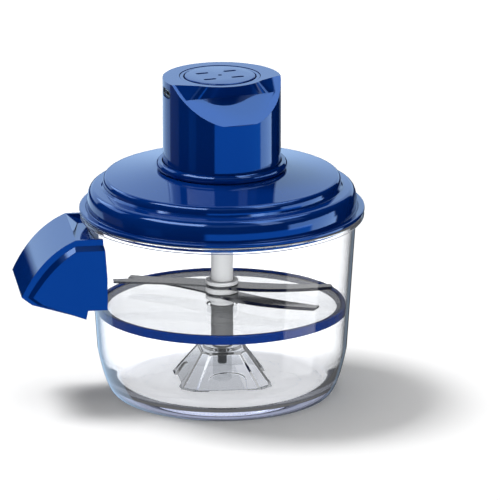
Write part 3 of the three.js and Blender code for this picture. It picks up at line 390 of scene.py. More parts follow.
def makeTurnedTree():
    # sweeps the piece's own line of points round Z
    tree, link, given = newTree("turnedForm", "Profile", ProfilePoints="Int", Steps="Int", Weld="Float")
    grid = addNode(tree, "GeometryNodeMeshGrid")
    link(addMath(tree, "ADD", given["Steps"], 1), grid.inputs["Vertices X"])
    link(given["ProfilePoints"], grid.inputs["Vertices Y"])
    index = addNode(tree, "GeometryNodeInputIndex").outputs[0]
    row = addMath(tree, "MODULO", index, given["ProfilePoints"])
    column = addMath(tree, "FLOOR", addMath(tree, "DIVIDE", index, given["ProfilePoints"]))
    angle = addMath(tree, "MULTIPLY", addMath(tree, "DIVIDE", column, given["Steps"]), 2 * math.pi)
    sample = addNode(tree, "GeometryNodeSampleIndex", data_type="FLOAT_VECTOR")
    link(given["Profile"], sample.inputs["Geometry"])
    link(addNode(tree, "GeometryNodeInputPosition").outputs[0], sample.inputs["Value"])
    link(row, sample.inputs["Index"])
    turn = addNode(tree, "ShaderNodeVectorRotate", rotation_type="Z_AXIS")
    link(sample.outputs[0], turn.inputs["Vector"])
    link(angle, turn.inputs["Angle"])
    moved = addNode(tree, "GeometryNodeSetPosition")
    link(grid.outputs["Mesh"], moved.inputs["Geometry"])
    link(turn.outputs[0], moved.inputs["Position"])
    weld = addNode(tree, "GeometryNodeMergeByDistance")
    link(moved.outputs[0], weld.inputs["Geometry"])
    link(given["Weld"], weld.inputs["Distance"])
    return paintTree(tree, weld.outputs[0], given["Material"])


turnedTree = makeTurnedTree()


def useTree(piece, tree, **values):
    modifier = piece.modifiers.new(tree.name, "NODES")
    modifier.node_group = tree
    for item in tree.interface.items_tree:
        if item.in_out == "INPUT" and item.name in values:
            modifier[item.identifier] = values[item.name]
    return keepMesh(piece)


def turned(name, points, material, closed=False, steps=192):
    line = soften(points, closed)
    if closed:
        line.append(line[0])
    piece = newPiece(name, [(point.x, 0, point.y) for point in line], [])
    useTree(piece, turnedTree, ProfilePoints=len(line), Steps=steps, Weld=2 * weldDistance, Material=material)
    return shadeSmooth(faceOut(piece))


def plainRod(name, radius, bottom, top, steps=192, x=0, y=0):
    piece = turned(name, [(0, bottom), (radius, bottom), (radius, top), (0, top)], blue, steps=steps)
    piece.data.transform(shift(x, y, 0))
    return piece


def prism(name, outline, low, high, axis="Z", material=None):
    # outline points lie in XY for axis Z, in XZ for axis Y and in YZ for axis X
    order = {"Z": (0, 1, 2), "Y": (0, 2, 1), "X": (2, 0, 1)}[axis]
    points = [[(a, b, level)[i] for i in order] for level in (low, high) for a, b in outline]
    return faceOut(newPiece(name, points, stackFaces(len(outline)), material))


def barOutline(width, height, steps=10):
    half, end = width / 2 - height / 2, height / 2
    points = []
    for side in (1, -1):
        for step in range(steps + 1):
            angle = math.pi * (step / steps - side / 2)
            points.append((side * half + end * math.cos(angle), end * math.sin(angle)))
    return points


# Bowl.
bowlSizes = {
    "height": 108.4, "rimRadius": 77.7, "cornerRadius": 72.7, "cornerHeight": 26, "footRadius": 63.5,
    "footFlat": 4, "wall": 2.5, "floor": 6, "flangeRadius": 82.3, "flangeBottom": 104.6, "steps": 256,
}


def makeBowl(s):
    wall = s["wall"]
    innerRim = s["rimRadius"] - wall
    foot, corner = s["footRadius"], s["cornerRadius"]
    outside = bend((foot, 0), ((foot + corner) / 2, wall), (corner, s["cornerHeight"]))
    inside = bend(
        (corner - wall, s["cornerHeight"]), (corner - wall * 2, s["floor"] + wall), (foot - wall, s["floor"]))
    # each point is a radius, a height and, where the corner is rounded, the rounding
    points = [
        (0, 0), (foot - s["footFlat"], 0), *outside,
        (s["rimRadius"], s["flangeBottom"], 0.8),
        (s["flangeRadius"], s["flangeBottom"], 1.2),
        (s["flangeRadius"], s["height"], 1.0),
        (innerRim, s["height"], 0.6),
        (innerRim, s["flangeBottom"]),
        *inside, (foot - wall - s["footFlat"], s["floor"]), (0, s["floor"]),
    ]
    return turned("clearBowl", points, clear, steps=s["steps"])


place(makeBowl(bowlSizes), "bowl", "clear_plastic", "bowl")


# Pedestal and pin.
pedestalSizes = {
    "bottom": 6.3, "height": 20, "half": 26.8, "topHalf": 13.1, "corner": 7, "topCorner": 4,
    "archWidth": 22, "archHeight": 12, "archDepth": 1.6, "archBelow": 4, "bossRadius": 11, "bossTop": 27.9,
    "wall": 2, "pinHole": 2.8, "pinHoleBottom": 15.6, "edge": 0.45,
}
pinSizes = {"radius": 2.5, "bottom": 15.9, "top": 41.9}


def cornerCut(half, corner):
    flat = half - corner
    return [(flat, -half), (half, -flat), (half, flat), (flat, half),
            (-flat, half), (-half, flat), (-half, -flat), (-flat, -half)]


def makePedestal(s):
    low = [(*point, s["bottom"]) for point in cornerCut(s["half"], s["corner"])]
    high = [(*point, s["bottom"] + s["height"]) for point in cornerCut(s["topHalf"], s["topCorner"])]
    faces = stackFaces(len(low))
    body = faceOut(newPiece("clearPedestal", low + high, faces, clearInner))
    wall, roof = s["wall"], s["bottom"] + s["height"] - s["wall"]
    low = [(*point, s["bottom"] - 1) for point in cornerCut(s["half"] - wall, s["corner"])]
    high = [(*point, roof) for point in cornerCut(s["topHalf"] - wall / 2, s["topCorner"])]
    hollow = faceOut(newPiece("hollow", low + high, faces))
    core = plainRod("core", s["bossRadius"] / 2, s["bottom"] - 2, roof + 1, 64)
    carve(body, carve(hollow, core))
    half, arch, below = s["archWidth"] / 2, s["archHeight"], s["archBelow"]
    spring = arch - s["archWidth"] / 4
    outline = [(-half, -below), (half, -below)]
    outline += bend((half, spring), (half, arch), (0, arch), 10)
    outline += bend((0, arch), (-half, arch), (-half, spring), 10)[1:]
    tilt = Matrix.Rotation(-math.atan2(s["half"] - s["topHalf"], s["height"]), 4, "X")
    tools = []
    for side in range(4):
        tool = prism("arch", outline, -6, s["archDepth"], "Y")
        quarter = Matrix.Rotation(math.pi / 2 * side, 4, "Z")
        tool.data.transform(quarter @ shift(0, -s["half"], s["bottom"]) @ tilt)
        tools.append(tool)
    boss = plainRod("boss", s["bossRadius"], s["bottom"] + s["height"] - 2, s["bossTop"], 96)
    carve(body, boss, operation="UNION")
    carve(body, *tools, plainRod("pinHole", s["pinHole"], s["pinHoleBottom"], s["bossTop"] + 12, 48))
    return easeEdges(body, s["edge"])


def makePin(s):
    radius, bottom, top = s["radius"], s["bottom"], s["top"]
    points = [(0, bottom), (radius, bottom, 0.3), (radius, top, 0.6), (0, top)]
    return turned("pivotPin", points, polished, steps=64)


place(makePedestal(pedestalSizes), "bowl", "clear_plastic", "pivot_pedestal")
place(makePin(pinSizes), "bowl", "polished_steel", "pivot_pin")
print("scene: bowl and pedestal made")


# Tray.
trayRingSizes = {
    "bottom": 48.5, "ledge": 50.9, "top": 54, "lowRadius": 71.35, "topRadius": 71.7, "inner": 66.4,
    "seat": 69.1,
}
trayPlateSizes = {"bore": 6.7, "hub": 8.7, "hubBottom": 46.2, "bottom": 51.2, "top": 53.2, "radius": 68.8}


def makeTrayRing(s):
    return turned("trayRing", [
        (s["inner"], s["bottom"], 0.5), (s["lowRadius"], s["bottom"], 0.6), (s["topRadius"], s["top"], 0.8),
        (s["seat"], s["top"], 0.6), (s["seat"], s["ledge"]), (s["inner"], s["ledge"], 0.5),
    ], blue, closed=True, steps=256)


def makeTrayPlate(s):
    return turned("trayPlate", [
        (s["bore"], s["hubBottom"], 0.3), (s["hub"], s["hubBottom"], 0.5), (s["hub"], s["bottom"], 0.4),
        (s["radius"], s["bottom"], 0.4), (s["radius"], s["top"], 0.4), (s["bore"], s["top"], 0.5),
    ], clearInner, closed=True)


place(makeTrayRing(trayRingSizes), "tray", "blue_gloss", "tray_ring")
place(makeTrayPlate(trayPlateSizes), "tray", "clear_plastic", "tray_plate")


# Spindle and blades.
spindleSizes = {
    "radius": 6.35, "bottom": 28.2, "top": 132.4, "driveTop": 139.4, "driveAcross": 8, "bore": 2.85,
    "boreDepth": 14, "turn": 11.5, "edge": 0.25,
}


def makeShaft(s):
    bore, roof = s["bore"], s["bottom"] + s["boreDepth"]
    shaft = turned("spindleShaft", [
        (bore, s["bottom"], 0.3), (s["radius"], s["bottom"], 0.5), (s["radius"], s["top"], 0.7),
        (0, s["top"]), (0, roof), (bore, roof), (bore, s["bottom"]),
    ], white, steps=96)
    corner = s["driveAcross"] / math.sqrt(3)
    hexagon = [(corner * math.cos(math.pi / 3 * i), corner * math.sin(math.pi / 3 * i)) for i in range(6)]
    drive = turnPiece(prism("drive", hexagon, s["top"] - 2, s["driveTop"]), s["turn"])
    carve(shaft, drive, operation="UNION")
    return easeEdges(shaft, s["edge"], 2, 50)


place(makeShaft(spindleSizes), "spindle", "white_plastic", "spindle_shaft")

bladeSizes = {
    "reach": 62, "rootWidth": 15, "tipWidth": 7, "sweep": 16, "thickness": 1.2, "bore": 6.65, "hub": 9.45,
    "grind": 2.6, "grindSlant": 0.25, "grindRunIn": 4, "edge": 0.25, "steps": 28,
    "levels": {"Lower": 58.5, "Upper": 63.5}, "turns": {"Lower": -58, "Upper": -32},
}
spacerSizes = {
    "bladeSeat": ("blade_seat", 55.8, 58.2), "bladeSpacer": ("blade_spacer", 60, 63.2),
    "bladeCap": ("blade_cap", 65, 67.4),
}


def makeBlade(name, level, turn, s):
    root, middle, reach = s["rootWidth"] / 2, s["reach"] / 2, s["reach"]
    leading = bend((root, -root), (middle, -root), (reach, s["sweep"]), s["steps"])
    tip = (reach - s["tipWidth"] / 2, s["sweep"] + s["tipWidth"])
    trailing = bend(tip, (middle, root + s["tipWidth"] / 2), (root, root), s["steps"])
    outline = [*leading, *trailing]
    wing = outline + [(-x, -y) for x, y in outline]
    # the leading edge of each wing is ground back over the blade's thickness, with a run-in beside the hub
    ground = []
    for index, (x, y) in enumerate(wing):
        step = index % len(outline)
        if step < len(leading):
            share = math.sin(min(1, step / s["grindRunIn"]) * math.pi / 2) * s["grind"]
            sign = 1 if index < len(outline) else -1
            ground.append((x - sign * share * s["grindSlant"], y + sign * share))
        else:
            ground.append((x, y))
    low, high = level, level + s["thickness"]
    layers = ((wing, low), (wing, level + s["edge"]), (ground, high))
    points = [(x, y, height) for plan, height in layers for x, y in plan]
    blade = faceOut(newPiece(name, points, stackFaces(len(wing), 2), polished))
    carve(blade, plainRod("hub", s["hub"], low, high, 96), operation="UNION")
    carve(blade, plainRod("bore", s["bore"], low - 2, high + 2, 96))
    return turnPiece(shadeSmooth(repaint(blade, polished), 12), turn)


def makeSpacer(name, low, high, s):
    ring = [(s["bore"], low, 0.2), (s["hub"], low, 0.5), (s["hub"], high, 0.5), (s["bore"], high, 0.2)]
    return turned(name, ring, white, closed=True, steps=96)


for which, level in bladeSizes["levels"].items():
    blade = makeBlade("blade" + which, level, bladeSizes["turns"][which], bladeSizes)
    place(blade, "spindle", "polished_steel", "blade_" + which.lower())
for name, (node, low, high) in spacerSizes.items():
    place(makeSpacer(name, low, high, bladeSizes), "spindle", "white_plastic", node)
print("scene: tray, spindle and blades made")


# Lid.
lidSizes = {
    "skirtInner": 70.4, "skirtBottom": 104.6, "skirtTop": 115, "beadRadius": 74.4, "grooveBottom": 105.5,
    "grooveRadius": 72.6, "grooveTop": 117.5, "rimInner": 75.4, "flangeBottom": 108.7, "flangeRadius": 82.5,
    "flangeTop": 110.8, "flangeInner": 79.1, "grooveFloor": 110.2, "shoulderRadius": 77.9,
    "shoulderFoot": 113.3, "shoulderTop": 122.5, "shoulderInner": 73.4,
    "stepRadius": 69.9, "stepLevel": 123.0, "domeRadius": 68.9,
    "domeFoot": 124.25, "domeTop": 129, "domeInner": 66, "flatRadius": 38.7, "top": 133, "hole": 9.8,
    "underFlat": 130.5, "underRadius": 64.75, "underLevel": 126.5, "wallTop": 120,
}
sealSizes = {"inner": 72.9, "lip": 74.6, "waist": 74.3, "bottom": 105.8, "top": 107.6}
bushingSizes = {"bore": 6.7, "flange": 12, "radius": 9.5, "bottom": 128.6, "flangeTop": 130.2, "top": 132.7}
collarSizes = {"inner": 34.4, "shoulder": 36.67, "bulge": 38.93, "bottom": 133.3, "top": 138}


def makeLid(s):
    shoulder, level = s["shoulderRadius"], s["shoulderTop"]
    dome, top = s["domeRadius"], s["domeTop"]
    return turned("lidShell", [
        (s["skirtInner"], s["skirtBottom"], 0.3), (s["beadRadius"], s["skirtBottom"], 0.3),
        (s["beadRadius"], s["grooveBottom"], 0.2), (s["grooveRadius"], s["grooveBottom"]),
        (s["grooveRadius"], s["grooveTop"]), (s["rimInner"], s["skirtTop"]),
        (s["rimInner"], s["flangeBottom"], 0.4), (s["flangeRadius"], s["flangeBottom"], 0.5),
        (s["flangeRadius"], s["flangeTop"], 0.9), (s["flangeInner"], s["flangeTop"], 0.4),
        (shoulder, s["grooveFloor"], 0.3),
        *bend((shoulder, s["shoulderFoot"]), (shoulder, level), (s["shoulderInner"], level), 24),
        (s["stepRadius"], s["stepLevel"], 0.5),
        *bend((dome, s["domeFoot"]), (dome, top), (s["domeInner"], top), 18)[:-1],
        (s["domeInner"], top, 12), (s["flatRadius"], s["top"], 20), (s["hole"], s["top"], 0.4),
        (s["hole"], s["underFlat"], 0.3), (s["flatRadius"], s["underFlat"], 10),
        (s["underRadius"], s["underLevel"], 2), (s["domeInner"], s["wallTop"], 1),
        (s["skirtInner"], s["skirtTop"], 1),
    ], blue, closed=True, steps=320)


def makeSeal(s):
    return turned("lidSeal", [
        (s["inner"], s["bottom"], 0.3), (s["lip"], s["bottom"], 0.5),
        (s["waist"], (s["bottom"] + s["top"]) / 2),
        (s["lip"], s["top"], 0.5), (s["inner"], s["top"], 0.3),
    ], silicone, closed=True, steps=256)


def makeBushing(s):
    return turned("shaftBushing", [
        (s["bore"], s["bottom"], 0.3), (s["flange"], s["bottom"], 0.4), (s["flange"], s["flangeTop"], 0.3),
        (s["radius"], s["flangeTop"]), (s["radius"], s["top"], 0.4), (s["bore"], s["top"], 0.5),
    ], white, closed=True, steps=96)


def makeCollar(s):
    bottom, top = s["bottom"], s["top"]
    outside = bend((s["shoulder"], bottom), (s["bulge"], (bottom + top) / 2), (s["shoulder"], top), 16)
    points = [(s["inner"], bottom, 0.3), *outside, (s["inner"], top, 0.6)]
    return turned("collarRing", points, blue, closed=True, steps=256)


place(makeLid(lidSizes), "lid", "blue_gloss", "lid_shell")
place(makeSeal(sealSizes), "lid", "seal_silicone", "lid_seal")
place(makeBushing(bushingSizes), "lid", "white_plastic", "shaft_bushing")
place(makeCollar(collarSizes), "lid", "blue_gloss", "collar_ring")
print("scene: lid made")


# Head.
headSizes = {
    "turn": 11.5, "radius": 34, "inner": 31.5, "floor": 133.3, "top": 187, "wall": 2.5, "edge": 0.6,
    "slope": 40.7, "foot": 166.5, "lip": 1.6, "riserHeight": 7.5, "riserBelow": 4, "riserBack": 17,
    "footHalf": 27, "footTurn": 4.5, "browRadius": 26.2, "browHalf": 19, "browEnd": 6,
    "buttonRadius": 20.4, "buttonBack": 3.2, "gap": 0.4, "wellDepth": 5,
    "bezelRadius": 23.2, "bezelGap": 0.3, "bezelDepth": 1.5,
    "portWidth": 13, "portHeight": 5.5, "portLevel": 180.5,
}


def riserPlan(s, share, inset, steps=40):
    # the front edge runs from the straight foot to the curved brow as the share goes from 0 to 1
    reach, radius = s["radius"] + cutPast, s["browRadius"]
    turn = math.asin(s["browHalf"] / radius)
    foot = [(reach, s["riserBack"] - s["footTurn"])]
    brow = [(reach, s["browEnd"])]
    for step in range(steps, -steps - 1, -1):
        angle = turn * step / steps
        foot.append((s["footHalf"] * step / steps, s["riserBack"]))
        brow.append((radius * math.sin(angle), radius * math.cos(angle) - s["buttonBack"]))
    foot.append((-reach, s["riserBack"] - s["footTurn"]))
    brow.append((-reach, s["browEnd"]))
    front = [(a + (c - a) * share, inset - b - (d - b) * share) for (a, b), (c, d) in zip(foot, brow)]
    return [(reach, reach), (-reach, reach), *reversed(front)]


def scoopTool(s, inset):
    # a wedge over the sloping tread, less what is kept behind the riser
    slope, reach = math.radians(s["slope"]), s["radius"] + 3
    foot, edge = s["foot"] - inset / math.cos(slope), s["radius"] - s["lip"]
    above = s["top"] + reach
    side = [(-reach, foot), (-edge, foot), (0, foot + edge * math.tan(slope)), (0, above), (-reach, above)]
    wedge = prism("scoop", side, -reach, reach, "X")
    base, points = s["top"] - s["riserHeight"], []
    for level in (base - s["riserBelow"], s["top"] + cutPast):
        plan = riserPlan(s, (level - base) / s["riserHeight"], inset)
        points += [(*point, level) for point in plan]
    return carve(wedge, faceOut(newPiece("kept", points, stackFaces(len(plan)))))


def makeHead(s):
    above, back = s["top"] + cutPast, s["buttonBack"]
    shell = plainRod("headHousing", s["radius"], s["floor"], s["top"], 256)
    room = plainRod("room", s["inner"], s["floor"] - cutPast, s["top"] - s["wall"], 128)
    carve(room, scoopTool(s, s["wall"]))
    carve(shell, scoopTool(s, 0), room)
    well = plainRod("well", s["buttonRadius"] + s["gap"], s["top"] - s["wellDepth"], above, y=back)
    recess = plainRod("recess", s["bezelRadius"] + s["bezelGap"], s["top"] - s["bezelDepth"], above, y=back)
    mouth = barOutline(s["portWidth"], s["portHeight"])
    port = prism("port", mouth, -s["radius"] - cutPast, -s["inner"] + 4, "X")
    port.data.transform(shift(0, 0, s["portLevel"]))
    carve(shell, well, recess, port)
    easeEdges(shell, s["edge"], 4, 28)
    return turnPiece(repaint(shell, blue), s["turn"])


place(makeHead(headSizes), "head", "blue_gloss", "head_housing")
print("scene: head made")


# Button.
buttonSizes = {
    "radius": 20.4, "top": 187.3, "under": 185.1, "skirt": 18.4, "skirtBottom": 182.7,
    "lip": 1.6, "lipTop": 184.2, "lipStart": 12, "windowStart": 18, "windowTop": 184.8,
    "slotLength": 7.6, "slotWidth": 2.5, "slotDepth": 1.3, "slotsAcross": 16.8, "slotsAlong": 14,
    "dot": 1.2, "boss": 2.4, "bossBottom": 184.1, "edge": 0.12,
}
bezelSizes = {"inner": 21.1, "outer": 23.2, "bottom": 185.8, "top": 186.75}


def makeSlotTree():
    # sets a copy of the piece's own shape at each corner of a rectangle
    tree, link, given = newTree("slotPattern", "Slot", Across="Float", Along="Float")
    grid = addNode(tree, "GeometryNodeMeshGrid")
    for axis, size in (("X", "Across"), ("Y", "Along")):
        grid.inputs["Vertices " + axis].default_value = 2
        link(given[size], grid.inputs["Size " + axis])
    copies = addNode(tree, "GeometryNodeInstanceOnPoints")
    link(grid.outputs["Mesh"], copies.inputs["Points"])
    link(given["Slot"], copies.inputs["Instance"])
    return paintTree(tree, copies.outputs[0], given["Material"])


def frontSlab(name, start, low, high, half=30, end=-36):
    # cuts away what lies in front of the start
    return prism(name, [(-half, end), (half, end), (half, -start), (-half, -start)], low, high)


def makeButton(s, head):
    radius, skirt, lip = s["radius"], s["skirt"], s["radius"] + s["lip"]
    cap = turned("buttonCap", [
        (0, s["under"]), (skirt, s["under"]), (skirt, s["skirtBottom"]), (lip, s["skirtBottom"]),
        (lip, s["lipTop"]), (radius, s["lipTop"]), (radius, s["top"], 0.7), (0, s["top"]),
    ], blue)
    below, slotFloor, above = s["skirtBottom"] - cutPast, s["top"] - s["slotDepth"], s["top"] + cutPast
    frontLip = frontSlab("lip", s["lipStart"], below, s["lipTop"])
    carve(frontLip, plainRod("kept", radius, below - cutPast, s["lipTop"] + cutPast))
    window = frontSlab("window", s["windowStart"], below, s["windowTop"])
    carve(cap, plainRod("boss", s["boss"], s["bossBottom"], s["under"] + 0.5, 48), operation="UNION")
    slots = prism("slots", barOutline(s["slotLength"], s["slotWidth"]), slotFloor, above)
    useTree(slots, makeSlotTree(), Across=s["slotsAcross"] * mm, Along=s["slotsAlong"] * mm, Material=blue)
    dot = plainRod("dot", s["dot"], slotFloor, above, 48)
    carve(cap, frontLip, window, slots, dot)
    easeEdges(cap, s["edge"], 2, 40)
    return turnPiece(repaint(cap, blue), head["turn"], (0, head["buttonBack"], 0))


def makeBezel(s, head):
    bezel = turned("buttonBezel", [
        (s["inner"], s["bottom"], 0.2), (s["outer"], s["bottom"], 0.2),
        (s["outer"], s["top"], 0.3), (s["inner"], s["top"], 0.3),
    ], blue, closed=True)
    return turnPiece(bezel, head["turn"], (0, head["buttonBack"], 0))


place(makeButton(buttonSizes, headSizes), "button", "blue_gloss", "button_cap")
place(makeBezel(bezelSizes, headSizes), "head", "blue_gloss", "button_bezel")
print("scene: button made")


# Charging port: width, height, start and end of each bar along X.
portSizes = {
    "liner": (12.4, 4.9, -33.5, -30.3), "linerHollow": (9.5, 3.8, -36, -28), "linerEdge": 0.3,
    "socket": (8.9, 3.2, -33, -25), "socketHollow": (8.1, 2.4, -36, -27), "socketEdge": 0.12,
}


def makeBar(name, width, height, start, end, material):
    bar = prism(name, barOutline(width, height), start, end, "X", material)
    bar.data.transform(shift(0, 0, headSizes["portLevel"]))
    return bar


def makeHollowBar(name, bar, hollow, edge, material):
    piece = carve(makeBar(name, *bar, material), makeBar("hollow", *hollow, material))
    return turnPiece(easeEdges(piece, edge), headSizes["turn"])


def makePort(s):
    liner = makeHollowBar("portLiner", s["liner"], s["linerHollow"], s["linerEdge"], black)
    place(liner, "head", "black_plastic", "port_surround")
    socket = makeHollowBar("chargeSocket", s["socket"], s["socketHollow"], s["socketEdge"], steel)
    place(socket, "head", "plain_steel", "charge_socket")


makePort(portSizes)


# Handle.
handleSizes = {
    "width": 60, "wall": 3, "top": 101, "tip": 119.5, "tipDrop": 33, "crest": 88,
    "lip": 113.6, "lipDrop": 37.6, "back": 81.5, "heel": 82.6, "heelDrop": 47.2, "notchDrop": 42,
    "bulge": 4.2, "inside": 70.2,
    "rim": 3.6, "rimDepth": 1.6, "panelSlope": 2.8,
    "ledgeLevel": 98, "ledgeFoot": 80.3, "ledgeFront": 13, "ledgeRim": 2,
    "screwDrops": (14, 33), "screwHole": 1.9, "screwStart": -86.5, "screwEnd": -79.5,
    "gap": 0.3, "saddleDrop": 7.5, "edge": 0.7, "saddleEdge": 0.4, "steps": 32,
}


def handleSpine(s, start, inset):
    # the curved back of the handle, from the given level at the crest down to the tip
    middle = (s["tip"] + s["crest"]) / 2 + s["bulge"] - inset
    level = s["top"] - s["tipDrop"] / 2 + s["bulge"] * 2 - inset
    tip = (-s["tip"] + inset, s["top"] - s["tipDrop"])
    return bend((-s["crest"], start), (-middle, level), tip, s["steps"])


def handleSide(s, inset):
    top, notch = s["top"], s["top"] - s["notchDrop"]
    outline = [
        (-s["lip"] + inset, top - s["lipDrop"]), (-s["heel"], top - s["heelDrop"]),
        (-s["back"], notch), (-s["inside"], notch), (-s["inside"], top - inset),
    ]
    return outline + handleSpine(s, top - inset, inset)


def bowlTool(gap):
    s = bowlSizes
    slope = (s["rimRadius"] - s["cornerRadius"]) / (s["flangeBottom"] - s["cornerHeight"])
    base = s["cornerRadius"] - slope * s["cornerHeight"]
    flange, below = s["flangeRadius"] + gap, s["flangeBottom"] - gap
    return turned("bowlTool", [
        (0, 0), (base + gap, 0), (s["rimRadius"] + gap, s["flangeBottom"]),
        (flange, below), (flange, s["height"]), (0, s["height"]),
    ], blue, steps=s["steps"])


def boxTool(name, back, low, high, half, material=None):
    # fills the handle from its back wall to the bowl's axis
    return prism(name, [(-back, low), (0, low), (0, high), (-back, high)], -half, half, "Y", material)


def addPanel(body, s, side):
    # the raised panel of one side, whose edge slopes down to the rim
    outer = s["width"] / 2
    rim = outer - s["rimDepth"]
    foot, top = handleSide(s, s["rim"]), handleSide(s, s["rim"] + s["panelSlope"])
    layers = ((foot, (rim - 1) * side), (foot, rim * side), (top, outer * side))
    points = [(x, level, z) for plan, level in layers for x, z in plan]
    carve(body, faceOut(newPiece("panel", points, stackFaces(len(foot), 2))), operation="UNION")


def innerHalf(s):
    return s["width"] / 2 - s["wall"] - s["rimDepth"] / 2


def makeHandle(s):
    rim, inner, top = s["width"] / 2 - s["rimDepth"], innerHalf(s), s["top"]
    body = prism("handleShell", handleSide(s, 0), -rim, rim, "Y", blue)
    for side in (-1, 1):
        addPanel(body, s, side)
    wall, below = s["wall"], top - s["heelDrop"] - cutPast
    roof, backWall = s["ledgeLevel"] - wall, -s["back"] - wall
    space = [(-s["tip"] + wall, below), (backWall, below), (backWall, roof), *handleSpine(s, roof, wall)]
    grip = prism("grip", space, -inner, inner, "Y")
    pocket = boxTool("pocket", s["back"], below, roof, inner)
    side, above = rim - s["ledgeRim"], top + cutPast
    crest, foot, level = s["crest"], s["ledgeFoot"], s["ledgeLevel"]
    slant = [(-crest, top), (-foot, level), (0, level), (0, above), (-crest, above)]
    facet = prism("facet", slant, -side, side, "Y")
    plan = [(-crest, -side), (0, -side), (0, side), (-foot, side), (-crest, -s["ledgeFront"])]
    ledge = prism("ledge", plan, level, above)
    holes = []
    for drop in s["screwDrops"]:
        hole = plainRod("hole", s["screwHole"], s["screwStart"], s["screwEnd"], 32)
        hole.data.transform(shift(0, 0, top - drop) @ Matrix.Rotation(math.pi / 2, 4, "Y"))
        holes.append(hole)
    carve(body, grip, pocket, facet, ledge, *holes, bowlTool(s["gap"]))
    return repaint(easeEdges(body, s["edge"], 3, 28), blue)


def makeSaddle(s):
    low, high = s["top"] - s["notchDrop"], s["top"] - s["saddleDrop"]
    body = boxTool("handleSaddle", s["back"] - s["gap"], low, high, innerHalf(s) - s["gap"], navy)
    carve(body, bowlTool(s["gap"]))
    return repaint(easeEdges(body, s["saddleEdge"]), navy)


place(makeHandle(handleSizes), "bowl", "blue_gloss", "handle_shell")
place(makeSaddle(handleSizes), "bowl", "navy_plastic", "handle_saddle")
print("scene: handle made")


# Pieces that keep their CAD mesh take these finishes.
cadFinishes = {
    steel: ["handle_screw_upper", "handle_screw_lower", "base_screw_1", "base_screw_2", "base_screw_3",
            "button_spring", "motor_can", "motor_plate", "motor_shaft"],
    navy: ["head_base"],
    white: ["ring_gear", "planet_carrier", "planet_gear_1", "planet_gear_2", "planet_gear_3"],
    brass: ["sun_pinion"],
    black: ["cell_cradle", "push_switch"],
    board: ["control_board"],
    sleeve: ["cell_1", "cell_2", "cell_3"],
}
for finish, names in cadFinishes.items():
    for name in names:
        repaint(nodes[name], finish)


# Studio.
cameraSizes = {
    "azimuth": -7.7, "elevation": 16.2, "distance": 3.0, "lens": 373.6, "sensor": 36, "farEnd": 50,
    "pivot": (0, 0, 0.1108), "aimRight": 0.01619, "aimUp": -0.02643,
}
studio = {
    "fill": 0.27,
    # place, aim, width, height, power
    "lamps": {
        "overhead": ((-0.1, 0.15, 3.0), (0, 0, 0), 2.4, 2.4, 27),
        "backLeft": ((-1.1, 0.75, 2.7), (0, 0, 0), 0.9, 0.9, 62),
        "frontFill": ((0.1, -2.6, 0.5), (0, 0, 0.1), 1.6, 0.8, 14),
    },
    # what the gloss sees round the set, in degrees: middle and half width of the turn from the camera to
    # the right, middle and half width of the height, brightness and tint
    "panels": {
        "back": (-172, 40, 45, 45, 1.6, "pale"),
        "backLow": (-146, 25, -40, 31, 1.4, "pale"),
        "backRight": (160, 7, -40, 31, 0.3, "pale"),
        "leftLow": (-107, 14, -16, 10, 0.15, "white"),
        "frontRight": (34, 48, -14, 6, 3.6, "blue"),
        "behindHandle": (-60, 8, -14, 6, 0.5, "blue"),
        "rightLow": (98, 16, -15, 5, 5.0, "pale"),
        "rightMiddle": (84, 26, -2, 8, 5.0, "pale"),
        "ceiling": (85, 45, 66, 16, 6.5, "pale"),
        "front": (10, 70, 34, 9, 0.9, "pale"),
        "leftEdge": (-48, 32, 40, 10, 10.0, "white"),
        "frontEdge": (46, 10, 41, 17, 3.5, "white"),
        "leftRim": (-125, 25, 28, 8, 3.5, "pale"),
        "bowlStripe": (78, 18, -26, 5, 2.0, "white"),
    },
    "soft": 1.5,
    "tints": {"white": (1, 1, 1), "pale": (0.5, 0.72, 1), "blue": (0.04, 0.33, 1)},
    # mirrored rays inside the clear plastic see a grey that brightens with height, given in degrees
    "inside": (0.15, 0.8), "insideHeights": (-5, 25),
}
floorLook = {
    "half": 6000, "mattGrey": (0.6, 0.6, 0.6), "seenGrey": (0.95, 0.95, 0.95), "throughGlow": 0.85,
    "farGlow": 0.6, "glowStart": 0.3, "glowEnd": 2.6,
}


def makeCamera(s):
    azimuth, elevation = math.radians(s["azimuth"]), math.radians(s["elevation"])
    back = Vector((math.sin(azimuth) * math.cos(elevation), -math.cos(azimuth) * math.cos(elevation),
                   math.sin(elevation)))
    right = Vector((math.cos(azimuth), math.sin(azimuth), 0))
    up = back.cross(right)
    pivot = Vector(s["pivot"])
    data = bpy.data.cameras.new("camera")
    data.lens = s["lens"]
    data.sensor_width = s["sensor"]
    data.clip_end = s["farEnd"]
    camera = bpy.data.objects.new("camera", data)
    bpy.context.scene.collection.objects.link(camera)
    camera.location = pivot + back * s["distance"]
    aim = pivot + right * s["aimRight"] + up * s["aimUp"]
    camera.rotation_euler = (aim - camera.location).to_track_quat("-Z", "Y").to_euler()
    bpy.context.scene.camera = camera


def addSoftbox(name, position, aim, width, height, power):
    data = bpy.data.lights.new(name, "AREA")
    data.shape = "RECTANGLE"
    data.size, data.size_y = width, height
    data.energy = power
    lamp = bpy.data.objects.new(name, data)
    bpy.context.scene.collection.objects.link(lamp)
    lamp.location = position
    lamp.rotation_euler = (Vector(aim) - Vector(position)).to_track_quat("-Z", "Y").to_euler()
    lamp.visible_camera = False
    lamp.visible_glossy = False


